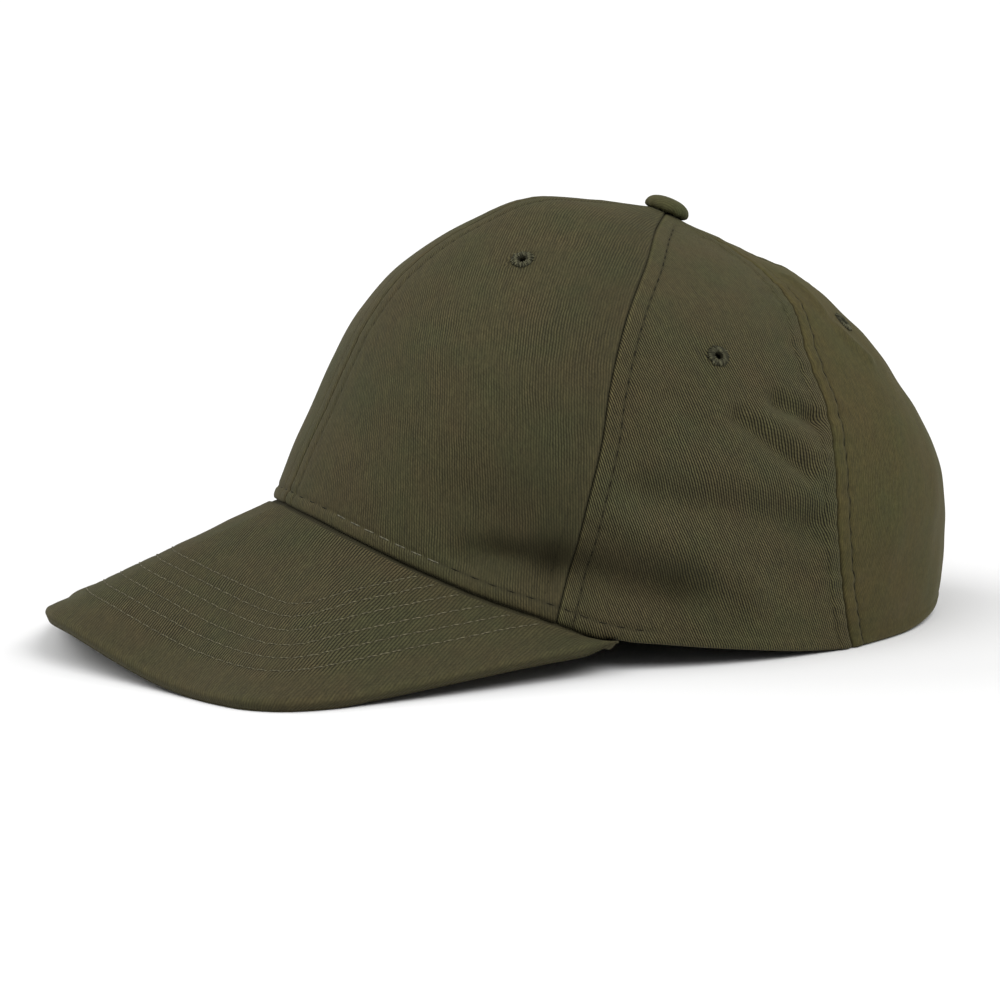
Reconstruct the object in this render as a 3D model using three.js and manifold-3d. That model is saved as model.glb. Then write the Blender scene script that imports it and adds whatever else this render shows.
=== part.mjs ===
// A panelled cloth cap with a pre-curved peak, as it lies on a table by itself.
// Millimetres, +Z up. The cap faces -Y, the wearer's left is +X, and the table is z = 0.
// The origin is on the table under the middle of the cap's outer box.

import * as THREE from 'three';
import * as BufferGeometryUtils from 'three/addons/utils/BufferGeometryUtils.js';
import Module from 'manifold-3d';

const wasm = await Module();
wasm.setup();

// Driving dimensions

const CROWN_SHIFT = 36.18;         // from the head's centre line back to the middle of the cap's box
const FRONT_CLOTH = 2.0;           // stiffened front panels
const SIDE_CLOTH = 1.5;            // unlined side and back panels
const SEAM_GAP = 0.3;              // clear space between two pieces sewn together
const SEAM_STEP = 0.5;             // how far a side panel lies below the front panel at their seam
const SEAM_STEP_FADE = 0.35;       // share of the side panel over which that step fades out
const HEM_FADE = 0.06;             // share of the crown's height over which folds fade out at the rim

const BUTTON_RADIUS = 7.2;
const BUTTON_HEIGHT = 4.4;
const BUTTON_TILT = 24;            // degrees, down towards the back
const BUTTON_SEAT = { y: 16.9, z: 122.7 };
const BUTTON_STEM_RADIUS = 2.2;
const BUTTON_STEM_LENGTH = 5;

const EYELET_RADIUS = 3.9;
const EYELET_FOOT = SEAM_GAP;       // height of the ring's underside over the cloth
const EYELET_TOP = EYELET_FOOT + 0.7;
const EYELET_SLEEVE = 1.6;         // outer radius of the thread that lines the hole
const EYELET_REACH = FRONT_CLOTH + 0.6;  // how far in the sleeve goes
const EYELET_BORE = 1.1;
const EYELET_CUT = 1.95;           // radius of the hole in the cloth
const EYELET_CUT_LENGTH = 12;

const PEAK_COVER = 1.5;            // thickness of each of the peak's two covers
const PEAK_TURN = 71.5;            // degrees, where the peak ends on the rim, either side of the front
const PEAK_TUCK = 1.6;             // how far the peak reaches in under the rim
const PEAK_DROP = 3.4;             // from the rim down to the under cover's lower side
const PEAK_CORNER_DROP = 1.8;      // how much further down that is at the corners
const PEAK_BULGE = 0.7;            // how far the middle stands over straight lines from rim to edge

const BAND_HEIGHT = 0.24;          // share of the crown's height that the sweatband covers
const BAND_START = 0.02;
const BAND_CLOTH = 1.2;
const BAND_DEPTH = 3.6;            // from the crown's outside to the band's outside

const PANEL_COLUMNS = 11;
const PANEL_ROWS = 19;
const PEAK_COLUMNS = 30;
const PEAK_ROWS = 7;
const BAND_COLUMNS = 60;
const BAND_ROWS = 5;
const EYELET_SIDES = 16;
const BUTTON_SIDES = 20;
const WELD = 1e-4;                 // points nearer than this are one point

// Steps over which a surface's slope is measured

const TURN_STEP = 0.25;
const AT_STEP = 0.004;
const AT_MARGIN = 0.005;
const PEAK_STEP = 0.005;
const PEAK_MARGIN = 0.01;

// The crown as a stack of tilted rings, from the rim (0) to the hole under the button (1).
// Each ring is given by its front point, its back point and its side point. shoulder is how far
// the cloth beside the centre-front seam falls back behind a plain ellipse.

const RINGS = [
  { at: 0.00, frontY: -105.4, frontZ: 43, backY: 103, backZ: 2.5, sideX: 79.5, sideZ: 5, shoulder: 0 },
  { at: 0.15, frontY: -99.4, frontZ: 56, backY: 105, backZ: 20, sideX: 82, sideZ: 22, shoulder: 0 },
  { at: 0.30, frontY: -92.4, frontZ: 69, backY: 104, backZ: 38, sideX: 82.5, sideZ: 40, shoulder: 0 },
  { at: 0.45, frontY: -85.7, frontZ: 82.5, backY: 98.4, backZ: 56, sideX: 79, sideZ: 58, shoulder: 0 },
  { at: 0.60, frontY: -77.5, frontZ: 96.8, backY: 87.3, backZ: 73, sideX: 72, sideZ: 76, shoulder: 1 },
  { at: 0.72, frontY: -65.5, frontZ: 109.6, backY: 75.6, backZ: 87.5, sideX: 62, sideZ: 91, shoulder: 3 },
  { at: 0.83, frontY: -45.4, frontZ: 121.9, backY: 61, backZ: 100.6, sideX: 47, sideZ: 104.5, shoulder: 6 },
  { at: 0.92, frontY: -23, frontZ: 128.4, backY: 43, backZ: 110, sideX: 27.5, sideZ: 115, shoulder: 4.5 },
  { at: 1.00, frontY: 13, frontZ: 124.3, backY: 21, backZ: 120.4, sideX: 3.5, sideZ: 122.5, shoulder: 0 },
];

// Height of the rim above the table, by the turn from the front in degrees. It rests on the
// table for a stretch behind each ear, and rises over the peak.

const RIM = [
  { at: 0, height: 41.8 },
  { at: 14, height: 39.9 },
  { at: 27, height: 35.1 },
  { at: 40, height: 28.4 },
  { at: 52, height: 21.4 },
  { at: 62, height: 16 },
  { at: 70, height: 10.9 },
  { at: 75, height: 8.7 },
  { at: 80, height: 7.6 },
  { at: 87, height: 5.9 },
  { at: 96, height: 3.8 },
  { at: 106, height: 1.5 },
  { at: 116, height: 0 },
  { at: 134, height: 0 },
  { at: 147, height: 1.2 },
  { at: 160, height: 2.4 },
  { at: 180, height: 3 },
];

// Where the two side seams lie, as the turn from the front in degrees, by height on the crown.

const SEAMS = [
  { at: 0.00, frontToSide: 63, sideToBack: 116.7 },
  { at: 0.15, frontToSide: 62.6, sideToBack: 111.4 },
  { at: 0.30, frontToSide: 62.3, sideToBack: 108.6 },
  { at: 0.45, frontToSide: 63.6, sideToBack: 109.9 },
  { at: 0.60, frontToSide: 65, sideToBack: 114 },
  { at: 0.72, frontToSide: 66.3, sideToBack: 116.8 },
  { at: 0.83, frontToSide: 66.8, sideToBack: 126 },
  { at: 0.92, frontToSide: 71.5, sideToBack: 134 },
  { at: 1.00, frontToSide: 69, sideToBack: 130 },
];

// The cloth's folds and dents: each runs from one place on the crown to another, in degrees of
// turn and share of height. width is its half width in millimetres, and depth is how far it
// goes in, or out where it is negative.

const FOLDS = [
  { name: 'hollow in the front panel', turn: 42, at: 0.2, toTurn: 56, toAt: 0.2, width: 14, depth: 2.6 },
  { name: 'valley in the front panel', turn: 46, at: 0.08, toTurn: 58, toAt: 0.105, width: 6, depth: 3 },
  { name: 'valley above the rim', turn: 60, at: 0.12, toTurn: 80, toAt: 0.135, width: 7.5, depth: 5.4 },
  { name: 'crease of the valley', turn: 50, at: 0.112, toTurn: 84, toAt: 0.142, width: 4.5, depth: 2.2 },
  { name: 'end of the valley', turn: 87, at: 0.125, toTurn: 91, toAt: 0.09, width: 6.5, depth: 1.2 },
  { name: 'bulge over the valley', turn: 69, at: 0.285, toTurn: 92, toAt: 0.165, width: 7, depth: -2.2 },
  { name: 'dent across the side', turn: 72, at: 0.355, toTurn: 102, toAt: 0.312, width: 6, depth: 3 },
  { name: 'crest over the dent', turn: 84, at: 0.44, toTurn: 103, toAt: 0.385, width: 6, depth: -1.2 },
  { name: 'middle pucker', turn: 91, at: 0.56, toTurn: 103, toAt: 0.437, width: 3, depth: 2.2 },
  { name: 'ridge between puckers', turn: 97, at: 0.565, toTurn: 106.5, toAt: 0.478, width: 3.6, depth: -1 },
  { name: 'upper pucker', turn: 101.5, at: 0.602, toTurn: 109, toAt: 0.56, width: 3.4, depth: 3 },
  { name: 'short pucker', turn: 77.5, at: 0.588, toTurn: 82.5, toAt: 0.54, width: 3.6, depth: 0.8 },
  { name: 'drawn-in back', turn: 122, at: 0.19, toTurn: 150, toAt: 0.2, width: 12, depth: 1.3 },
  { name: 'crease beside the back eyelet', turn: 146, at: 0.86, toTurn: 138, toAt: 0.79, width: 2.6, depth: -1.1 },
  { name: 'end of the crease', turn: 138, at: 0.74, toTurn: 142, toAt: 0.67, width: 2.6, depth: -1.1 },
];

// Outlines that are turned about +Y: a vent eyelet, which is a ring of thread with a sleeve
// through the hole, and the button with its hollowed underside and its stem.

const EYELET_OUTLINE = [
  { radius: EYELET_BORE, height: - EYELET_REACH },
  { radius: EYELET_SLEEVE, height: - EYELET_REACH },
  { radius: EYELET_SLEEVE, height: EYELET_FOOT },
  { radius: EYELET_RADIUS, height: EYELET_FOOT },
  { radius: 3.8, height: 0.65 },
  { radius: 3, height: EYELET_TOP },
  { radius: 1.7, height: EYELET_TOP },
  { radius: EYELET_BORE, height: 0.5 },
  { radius: EYELET_BORE, height: - EYELET_REACH },
];

const BUTTON_OUTLINE = [
  { radius: 0, height: - BUTTON_STEM_LENGTH },
  { radius: BUTTON_STEM_RADIUS, height: - BUTTON_STEM_LENGTH },
  { radius: BUTTON_STEM_RADIUS, height: 0.6 },
  { radius: 6.3, height: - 0.5 },
  { radius: BUTTON_RADIUS, height: 0.4 },
  { radius: BUTTON_RADIUS, height: 1.4 },
  { radius: 6.5, height: 3 },
  { radius: 4.75, height: 3.9 },
  { radius: 2.45, height: 4.3 },
  { radius: 0, height: BUTTON_HEIGHT },
];

// The peak's lower outer edge on the wearer's left, from the tip to the corner.

const PEAK_EDGE = [
  { x: 0, y: -176.2, z: 10.4 },
  { x: 12, y: -174.2, z: 9.6 },
  { x: 24, y: -170.3, z: 7.1 },
  { x: 36, y: -165.6, z: 4.2 },
  { x: 48, y: -160.4, z: 1.6 },
  { x: 61, y: -155.1, z: 0.2 },
  { x: 71.8, y: -150.6, z: 0 },
  { x: 81.5, y: -144.8, z: 0 },
  { x: 87.6, y: -136, z: 0 },
  { x: 89.5, y: -123.8, z: 0.1 },
  { x: 88.6, y: -108.2, z: 1.3 },
  { x: 86.7, y: -86.2, z: 3.4 },
  { x: 83.5, y: -62.1, z: 5.4 },
  { x: 79.7, y: -40, z: 6.4 },
  { x: 77.4, y: -31.5, z: 6.3 },
];

// The middle of each panel, where its eyelet is.

const EYELETS = [
  { name: 'eyelet_front', turn: 31.3, at: 0.787 },
  { name: 'eyelet_side', turn: 89.8, at: 0.694 },
  { name: 'eyelet_back', turn: 146.6, at: 0.752 },
];

const CLOTH = { color: 0x4e4b34, roughness: 0.92, metalness: 0 };
const THREAD = { color: 0x4a4a36, roughness: 0.85, metalness: 0 };
const BAND = { color: 0x45422e, roughness: 0.95, metalness: 0 };

// A smooth curve through a column of one of the tables above

function along( table, column, at ) {

  const last = table.length - 1;
  const gain = ( i, key ) => table[ i + 1 ][ key ] - table[ i ][ key ];
  const rise = ( i ) => gain( i, column ) / gain( i, 'at' );
  const slope = ( i ) => {

    if ( i === 0 ) return rise( 0 );
    if ( i === last ) return rise( last - 1 );
    const before = gain( i - 1, 'at' );
    const after = gain( i, 'at' );
    return ( rise( i - 1 ) * after + rise( i ) * before ) / ( before + after );

  };

  let i = 0;
  while ( i < last - 1 && at >= table[ i + 1 ].at ) i ++;
  const step = gain( i, 'at' );
  const t = ( at - table[ i ].at ) / step;
  const t2 = t * t;
  const t3 = t2 * t;
  return ( 2 * t3 - 3 * t2 + 1 ) * table[ i ][ column ]
    + ( t3 - 2 * t2 + t ) * slope( i ) * step
    + ( 3 * t2 - 2 * t3 ) * table[ i + 1 ][ column ]
    + ( t3 - t2 ) * slope( i + 1 ) * step;

}

// The crown's smooth outside, without folds: turn in degrees from the front, at from 0 to 1

function tiltedHeight( row, cosine ) {

  return row.sideZ + ( row.frontZ - row.backZ ) / 2 * cosine
    + ( ( row.frontZ + row.backZ ) / 2 - row.sideZ ) * cosine * cosine;

}

function smoothCrown( turn, at ) {

  const row = {};
  for ( const column of Object.keys( RINGS[ 0 ] ) ) row[ column ] = along( RINGS, column, at );
  const angle = THREE.MathUtils.degToRad( turn );
  const cosine = Math.cos( angle );
  const sine = Math.sin( angle );
  const fallBack = cosine > 0 ? row.shoulder * ( 2 * sine * cosine ) ** 2 : 0;
  const rimHeight = Math.max( 0, along( RIM, 'height', Math.abs( turn ) ) );
  const rimRise = rimHeight - tiltedHeight( RINGS[ 0 ], cosine );
  const point = new THREE.Vector3(
    row.sideX * sine,
    ( row.frontY + row.backY ) / 2 - ( row.backY - row.frontY ) / 2 * cosine + fallBack,
    tiltedHeight( row, cosine ) + rimRise * ( 1 - at ) ** 2,
  );
  if ( at === 0 ) point.z = rimHeight;
  return point;

}

// How far the folds take the cloth in at one place

function foldDepth( turn, at ) {

  const place = smoothCrown( Math.abs( turn ), at );
  let depth = 0;
  for ( const fold of FOLDS ) {

    const start = smoothCrown( fold.turn, fold.at );
    const run = smoothCrown( fold.toTurn, fold.toAt ).sub( start );
    const share = place.clone().sub( start ).dot( run ) / run.lengthSq();
    const nearest = start.addScaledVector( run, THREE.MathUtils.clamp( share, 0, 1 ) );
    const off = place.distanceTo( nearest ) / fold.width;
    depth += fold.depth * Math.exp( - off * off );

  }
  return depth;

}

function normalOf( surface, a, b, stepA, stepB ) {

  const alongA = surface( a + stepA, b ).sub( surface( a - stepA, b ) );
  const alongB = surface( a, b + stepB ).sub( surface( a, b - stepB ) );
  return alongA.cross( alongB ).normalize();

}

function crownNormal( turn, at ) {

  const inner = THREE.MathUtils.clamp( at, AT_MARGIN, 1 - AT_MARGIN );
  return normalOf( smoothCrown, turn, inner, TURN_STEP, AT_STEP );

}

// The cloth's outside or a layer below it. At the rim a layer keeps the rim's height, so the
// hem is level from outside to inside.

function crownLayer( turn, at, below ) {

  const point = smoothCrown( turn, at );
  const height = point.z;
  const foldShare = Math.min( 1, at / HEM_FADE );
  point.addScaledVector( crownNormal( turn, at ), - below - foldShare * foldDepth( turn, at ) );
  if ( at <= 0 ) point.z = height;
  return point;

}

// A closed wall between an upper and a lower grid of points, faces out. The upper grid's
// normal is along (next column - column) x (next row - row).

function wall( columns, rows, upper, lower, closedRound = false ) {

  const positions = [];
  const indices = [];
  const across = closedRound ? columns : columns + 1;
  const count = across * ( rows + 1 );
  for ( const point of [ upper, lower ] ) {

    for ( let j = 0; j <= rows; j ++ ) {

      for ( let i = 0; i < across; i ++ ) positions.push( ...point( i / columns, j / rows ).toArray() );

    }

  }

  const id = ( layer, i, j ) => layer * count + j * across + ( closedRound ? i % columns : i );
  const quad = ( a, b, c, d ) => indices.push( a, b, c, a, c, d );
  for ( let j = 0; j < rows; j ++ ) {

    for ( let i = 0; i < columns; i ++ ) {

      quad( id( 0, i, j ), id( 0, i + 1, j ), id( 0, i + 1, j + 1 ), id( 0, i, j + 1 ) );
      quad( id( 1, i, j ), id( 1, i, j + 1 ), id( 1, i + 1, j + 1 ), id( 1, i + 1, j ) );

    }

    if ( ! closedRound ) {

      quad( id( 0, 0, j ), id( 0, 0, j + 1 ), id( 1, 0, j + 1 ), id( 1, 0, j ) );
      quad( id( 0, columns, j ), id( 1, columns, j ), id( 1, columns, j + 1 ), id( 0, columns, j + 1 ) );

    }

  }

  for ( let i = 0; i < columns; i ++ ) {

    quad( id( 0, i, 0 ), id( 1, i, 0 ), id( 1, i + 1, 0 ), id( 0, i + 1, 0 ) );
    quad( id( 0, i, rows ), id( 0, i + 1, rows ), id( 1, i + 1, rows ), id( 1, i, rows ) );

  }

  const geometry = new THREE.BufferGeometry();
  geometry.setAttribute( 'position', new THREE.Float32BufferAttribute( positions, 3 ) );
  geometry.setIndex( indices );
  geometry.computeVertexNormals();
  return geometry;

}

// Joining and cutting

function toSolid( geometry ) {

  const bare = geometry.clone();
  bare.deleteAttribute( 'normal' );
  bare.deleteAttribute( 'uv' );
  const merged = BufferGeometryUtils.mergeVertices( bare, WELD );
  return new wasm.Manifold( new wasm.Mesh( {
    numProp: 3,
    vertProperties: new Float32Array( merged.attributes.position.array ),
    triVerts: new Uint32Array( merged.index.array ),
  } ) );

}

function toGeometry( solid ) {

  const mesh = solid.getMesh();
  const geometry = new THREE.BufferGeometry();
  geometry.setAttribute( 'position', new THREE.BufferAttribute( mesh.vertProperties, 3 ) );
  geometry.setIndex( new THREE.BufferAttribute( mesh.triVerts, 1 ) );
  geometry.computeVertexNormals();
  return geometry;

}

function seatOf( turn, at ) {

  const normal = crownNormal( turn, at );
  return {
    point: smoothCrown( turn, at ).addScaledVector( normal, - foldDepth( turn, at ) ),
    rotation: new THREE.Quaternion().setFromUnitVectors( new THREE.Vector3( 0, 1, 0 ), normal ),
  };

}

// One panel of the crown, with the hole for its eyelet. left and right give the turn of its two
// edges by height, and sunk is how far it lies below the front panels' outside at left.

function panel( { left, right, thickness, stepAtLeft, stepAtRight, eyelet } ) {

  const place = ( share, at ) => {

    const from = left( at );
    const to = right( at );
    const inset = edgeInset( from, to, at );
    return from + inset + ( to - from - 2 * inset ) * share;

  };

  const sunk = ( share ) => SEAM_STEP * (
    stepAtLeft * Math.max( 0, 1 - share / SEAM_STEP_FADE ) ** 2
    + stepAtRight * Math.max( 0, 1 - ( 1 - share ) / SEAM_STEP_FADE ) ** 2 );

  const outside = ( share, at ) => crownLayer( place( share, at ), at, sunk( share ) );
  const inside = ( share, at ) => crownLayer( place( share, at ), at, sunk( share ) + thickness );
  const hole = new THREE.CylinderGeometry( EYELET_CUT, EYELET_CUT, EYELET_CUT_LENGTH, EYELET_SIDES );
  const seat = seatOf( eyelet.turn, eyelet.at );
  hole.applyQuaternion( seat.rotation );
  hole.translate( seat.point.x, seat.point.y, seat.point.z );
  const cloth = toSolid( wall( PANEL_COLUMNS, PANEL_ROWS, outside, inside ) );
  return toGeometry( cloth.subtract( toSolid( hole ) ) );

}

// Half the seam's gap, as a turn in degrees at this height on the crown

function edgeInset( from, to, at ) {

  const width = smoothCrown( from, at ).distanceTo( smoothCrown( to, at ) );
  return SEAM_GAP / 2 * ( to - from ) / width;

}

function turned( outline, sides ) {

  const points = outline.map( ( { radius, height } ) => new THREE.Vector2( radius, height ) );
  return new THREE.LatheGeometry( points, sides );

}

// The peak: nearly straight lines from the rim to the outer edge. side runs from -1 at the
// wearer's right corner over 0 at the middle to 1 at the left corner, and out from 0 to 1.

const edgeCurve = new THREE.CatmullRomCurve3(
  PEAK_EDGE.slice( 1 ).reverse().map( ( { x, y, z } ) => new THREE.Vector3( - x, y, z ) )
    .concat( PEAK_EDGE.map( ( { x, y, z } ) => new THREE.Vector3( x, y, z ) ) ),
  false, 'centripetal' );

// 0 at the rim and at the edge, and 1 a third of the way out

function bulgeShape( out ) {

  return 27 / 4 * out * ( 1 - out ) ** 2;

}

function peakBottom( side, out ) {

  const turn = PEAK_TURN * side;
  const root = smoothCrown( turn, 0 );
  const inward = crownNormal( turn, 0 ).setZ( 0 ).normalize();
  root.addScaledVector( inward, - PEAK_TUCK );
  root.z -= PEAK_DROP + PEAK_CORNER_DROP * side ** 4;
  const edge = edgeCurve.getPointAt( ( side + 1 ) / 2 );
  edge.z = Math.max( 0, edge.z );
  const point = root.lerp( edge, out );
  point.z += PEAK_BULGE * ( 1 - side ** 2 ) * bulgeShape( out );
  return point;

}

function peakNormal( side, out ) {

  const inner = THREE.MathUtils.clamp( side, PEAK_MARGIN - 1, 1 - PEAK_MARGIN );
  return normalOf( peakBottom, inner, out, PEAK_STEP, - PEAK_STEP );

}

function peakLayer( side, out, above ) {

  return peakBottom( side, out ).addScaledVector( peakNormal( side, out ), above );

}

function peakCover( bottom ) {

  const side = ( share ) => 2 * share - 1;
  return wall( PEAK_COLUMNS, PEAK_ROWS,
    ( share, out ) => peakLayer( side( share ), 1 - out, bottom + PEAK_COVER ),
    ( share, out ) => peakLayer( side( share ), 1 - out, bottom ) );

}

// The sweatband, a closed ring inside the rim

function sweatband() {

  const layer = ( below ) => ( share, up ) =>
    crownLayer( 360 * share - 180, BAND_START + up * ( BAND_HEIGHT - BAND_START ), below );
  return wall( BAND_COLUMNS, BAND_ROWS, layer( BAND_DEPTH ), layer( BAND_DEPTH + BAND_CLOTH ), true );

}

// Assembly

const cap = new THREE.Group();
const crown = new THREE.Group();
crown.position.y = CROWN_SHIFT;
cap.add( crown );

function add( name, geometry, look ) {

  const mesh = new THREE.Mesh( geometry, new THREE.MeshStandardMaterial( look ) );
  mesh.name = name;
  crown.add( mesh );
  return mesh;

}

const centreFront = () => 0;
const centreBack = () => 180;
const frontToSide = ( at ) => along( SEAMS, 'frontToSide', at );
const sideToBack = ( at ) => along( SEAMS, 'sideToBack', at );
const mirrored = ( seam ) => ( at ) => - seam( at );

const PANELS = [
  { name: 'front_panel', near: centreFront, far: frontToSide, thickness: FRONT_CLOTH, step: 0 },
  { name: 'side_panel', near: frontToSide, far: sideToBack, thickness: SIDE_CLOTH, step: 1 },
  { name: 'back_panel', near: sideToBack, far: centreBack, thickness: SIDE_CLOTH, step: 0 },
];

PANELS.forEach( ( { name, near, far, thickness, step }, i ) => {

  const { turn, at } = EYELETS[ i ];
  add( `${ name }_left`, panel( {
    left: near, right: far, thickness, stepAtLeft: step, stepAtRight: 0, eyelet: { turn, at },
  } ), CLOTH );
  add( `${ name }_right`, panel( {
    left: mirrored( far ), right: mirrored( near ), thickness, stepAtLeft: 0, stepAtRight: step,
    eyelet: { turn: - turn, at },
  } ), CLOTH );

} );

for ( const { name, turn, at } of EYELETS ) {

  for ( const [ hand, sign ] of [ [ 'left', 1 ], [ 'right', - 1 ] ] ) {

    const eyelet = add( `${ name }_${ hand }`, turned( EYELET_OUTLINE, EYELET_SIDES ), THREAD );
    const seat = seatOf( sign * turn, at );
    eyelet.position.copy( seat.point );
    eyelet.quaternion.copy( seat.rotation );

  }

}

const button = add( 'top_button', turned( BUTTON_OUTLINE, BUTTON_SIDES ), CLOTH );
button.position.set( 0, BUTTON_SEAT.y, BUTTON_SEAT.z );
button.rotation.x = THREE.MathUtils.degToRad( 90 - BUTTON_TILT );

add( 'peak_under_cover', peakCover( 0 ), CLOTH );
add( 'peak_top_cover', peakCover( PEAK_COVER + SEAM_GAP ), CLOTH );
add( 'sweatband', sweatband(), BAND );

export default cap;
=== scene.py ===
import math
import random

import bmesh
import bpy
import numpy as np
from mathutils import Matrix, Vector


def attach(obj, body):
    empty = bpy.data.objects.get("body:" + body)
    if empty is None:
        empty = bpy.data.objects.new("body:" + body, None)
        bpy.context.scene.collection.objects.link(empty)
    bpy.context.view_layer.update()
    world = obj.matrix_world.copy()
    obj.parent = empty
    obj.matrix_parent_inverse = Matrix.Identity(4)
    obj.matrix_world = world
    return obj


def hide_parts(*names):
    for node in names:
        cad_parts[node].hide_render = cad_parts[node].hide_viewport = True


# The cloth cap's looks. Lengths are in millimetres until a mesh is made, which is in metres.
# The cap faces -Y and the wearer's left is +X. "turn" is an angle in degrees round the crown from
# the front, and "at" runs from 0 at the rim to 1 at the hole under the button.

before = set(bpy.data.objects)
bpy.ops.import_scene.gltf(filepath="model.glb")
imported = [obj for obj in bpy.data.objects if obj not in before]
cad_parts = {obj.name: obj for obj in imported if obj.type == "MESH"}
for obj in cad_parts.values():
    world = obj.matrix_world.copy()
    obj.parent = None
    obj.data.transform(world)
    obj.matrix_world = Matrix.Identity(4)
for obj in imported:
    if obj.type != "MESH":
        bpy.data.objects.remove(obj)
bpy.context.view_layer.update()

MM = 0.001
CROWN_SHIFT = 36.18      # from the crown's own place to the cap's, along Y
FRONT_CLOTH = 2.0        # thickness of the front panels
SIDE_CLOTH = 1.5         # and of the others
SEAM_GAP = 0.3           # between the solids
SEAM_SLIT = 0.12         # between the cloth of two panels on the outside
SEAM_CLOSED = 0.02       # and on the inside, where the seam is drawn tight
SEAM_STEP = 0.5          # how far a side panel sinks at the front panel's seam
SEAM_STEP_FADE = 0.35    # share of the panel's width over which it does
HEM_FADE = 0.06          # "at" up to which the folds grow from nothing


def table(columns, rows):
    """A table's columns by name, each as an array."""
    return dict(zip(columns.split(), np.array(rows, float).T))


# The crown as a stack of tilted rings.
RINGS = table("at front_y front_z back_y back_z side_x side_z shoulder", [
    (0.00, -105.4, 43, 103, 2.5, 79.5, 5, 0),
    (0.15, -99.4, 56, 105, 20, 82, 22, 0),
    (0.30, -92.4, 69, 104, 38, 82.5, 40, 0),
    (0.45, -85.7, 82.5, 98.4, 56, 79, 58, 0),
    (0.60, -77.5, 96.8, 87.3, 73, 72, 76, 1),
    (0.72, -65.5, 109.6, 75.6, 87.5, 62, 91, 3),
    (0.83, -45.4, 121.9, 61, 100.6, 47, 104.5, 6),
    (0.92, -23, 128.4, 43, 110, 27.5, 115, 4.5),
    (1.00, 13, 124.3, 21, 120.4, 3.5, 122.5, 0),
])

# Height of the rim above the table, by turn.
RIM = table("at height", [
    (0, 41.8), (14, 39.9), (27, 35.1), (40, 28.4), (52, 21.4), (62, 16), (70, 10.9), (75, 8.7),
    (80, 7.6), (87, 5.9), (96, 3.8), (106, 1.5), (116, 0), (134, 0), (147, 1.2), (160, 2.4),
    (180, 3),
])

# Turn of the two seams on the wearer's left.
SEAMS = table("at front_to_side side_to_back", [
    (0.00, 63, 116.7), (0.15, 62.6, 111.4), (0.30, 62.3, 108.6), (0.45, 63.6, 109.9),
    (0.60, 65, 114), (0.72, 66.3, 116.8), (0.83, 66.8, 126), (0.92, 71.5, 134), (1.00, 69, 130),
])

# Folds and dents: each runs between two places on the crown. depth goes in, or out below 0.
FOLDS = table("turn at to_turn to_at width depth", [
    (42, 0.2, 56, 0.2, 14, 2.6),
    (46, 0.08, 58, 0.105, 6, 3),
    (60, 0.12, 80, 0.135, 7.5, 5.4),
    (50, 0.112, 84, 0.142, 4.5, 2.2),
    (87, 0.125, 91, 0.09, 6.5, 1.2),
    (69, 0.285, 92, 0.165, 7, -2.2),
    (72, 0.355, 102, 0.312, 6, 3),
    (84, 0.44, 103, 0.385, 6, -1.2),
    (91, 0.56, 103, 0.437, 3, 2.2),
    (97, 0.565, 106.5, 0.478, 3.6, -1),
    (101.5, 0.602, 109, 0.56, 3.4, 3),
    (77.5, 0.588, 82.5, 0.54, 3.6, 0.8),
    (122, 0.19, 150, 0.2, 12, 1.3),
    (146, 0.86, 138, 0.79, 2.6, -1.1),
    (138, 0.74, 142, 0.67, 2.6, -1.1),
])

# The peak's lower outer edge on the wearer's left, from the tip to the corner.
PEAK_EDGE = table("x y z", [
    (0, -176.2, 10.4), (12, -174.2, 9.6), (24, -170.3, 7.1), (36, -165.6, 4.2), (48, -160.4, 1.6),
    (61, -155.1, 0.2), (71.8, -150.6, 0), (81.5, -144.8, 0), (87.6, -136, 0), (89.5, -123.8, 0.1),
    (88.6, -108.2, 1.3), (86.7, -86.2, 3.4), (83.5, -62.1, 5.4), (79.7, -40, 6.4), (77.4, -31.5, 6.3),
])
PEAK_TURN = 71.5         # turn at which the peak ends, on either side
PEAK_TUCK = 1.6          # how far its root lies inside the rim
PEAK_DROP = 3.4          # and below it
PEAK_CORNER_DROP = 1.8   # and how much further below at its corners
PEAK_BULGE = 0.7         # how far it is arched from its root to its edge
PEAK_COVER = 1.5         # thickness of each of its two covers
PEAK_THICK = 2 * PEAK_COVER + SEAM_GAP

EYELETS = [("front", 31.3, 0.787), ("side", 89.8, 0.694), ("back", 146.6, 0.752)]

BUTTON_SEAT = (0, 16.9, 122.7)
BUTTON_RADIUS = 7.2
BUTTON_TILT = 24

BAND_HEIGHT = 0.24       # "at" of the sweatband's upper edge
BAND_START = 0.02        # and of its lower edge
BAND_CLOTH = 1.2
BAND_DEPTH = 3.6         # from the crown's outside to the sweatband

# How the cloth is sewn
SEAM_ROLL = 0.8          # width over which the cloth turns in at a seam
TOPSTITCH = 4.9          # from a seam to the row of stitches beside it
STITCH_DIP = 0.32        # depth of the groove that a row of stitches draws
STITCH_GROOVE = 0.75     # half width of that groove
STITCH_LENGTH = 3.4
STITCH_SPACE = 0.9
THREAD_RADIUS = 0.2
CROWN_ROW = (0.008, 0.97)    # "at" between which the rows beside the seams run
ROW_DEEP = 0.3           # how far a faint row of stitches sinks into the cloth
ROW_RISE = 0.22          # and how much less a dark one does
RIM_STITCH = 3.9         # from the rim up to the stitches that hold the peak
RIM_STITCH_LENGTH = 4.1
RIM_THREAD_RADIUS = 0.21
RIM_STITCH_END = 78      # turn at which that row ends
LIGHT_ROW_START = 18.5   # turn from which that row lies on top of the cloth, where its stitches get a lit copy of their thread as a painted highlight
LIGHT_ROW_END = 43       # turn up to which it does; on either side its stitches get the dark seam thread
LIGHT_ROW_SINK, DARK_ROW_SINK = 0.02, 0.18
DITCH_WIDTH = 0.35       # half width of the painted shade in a seam
ROW_WIDTH = 0.38         # half width of the painted shade along a row of stitches
RIM_ROW_DARK = 0.55      # how much painted shade lies along that row at the rim, past its lit stretch
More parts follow.
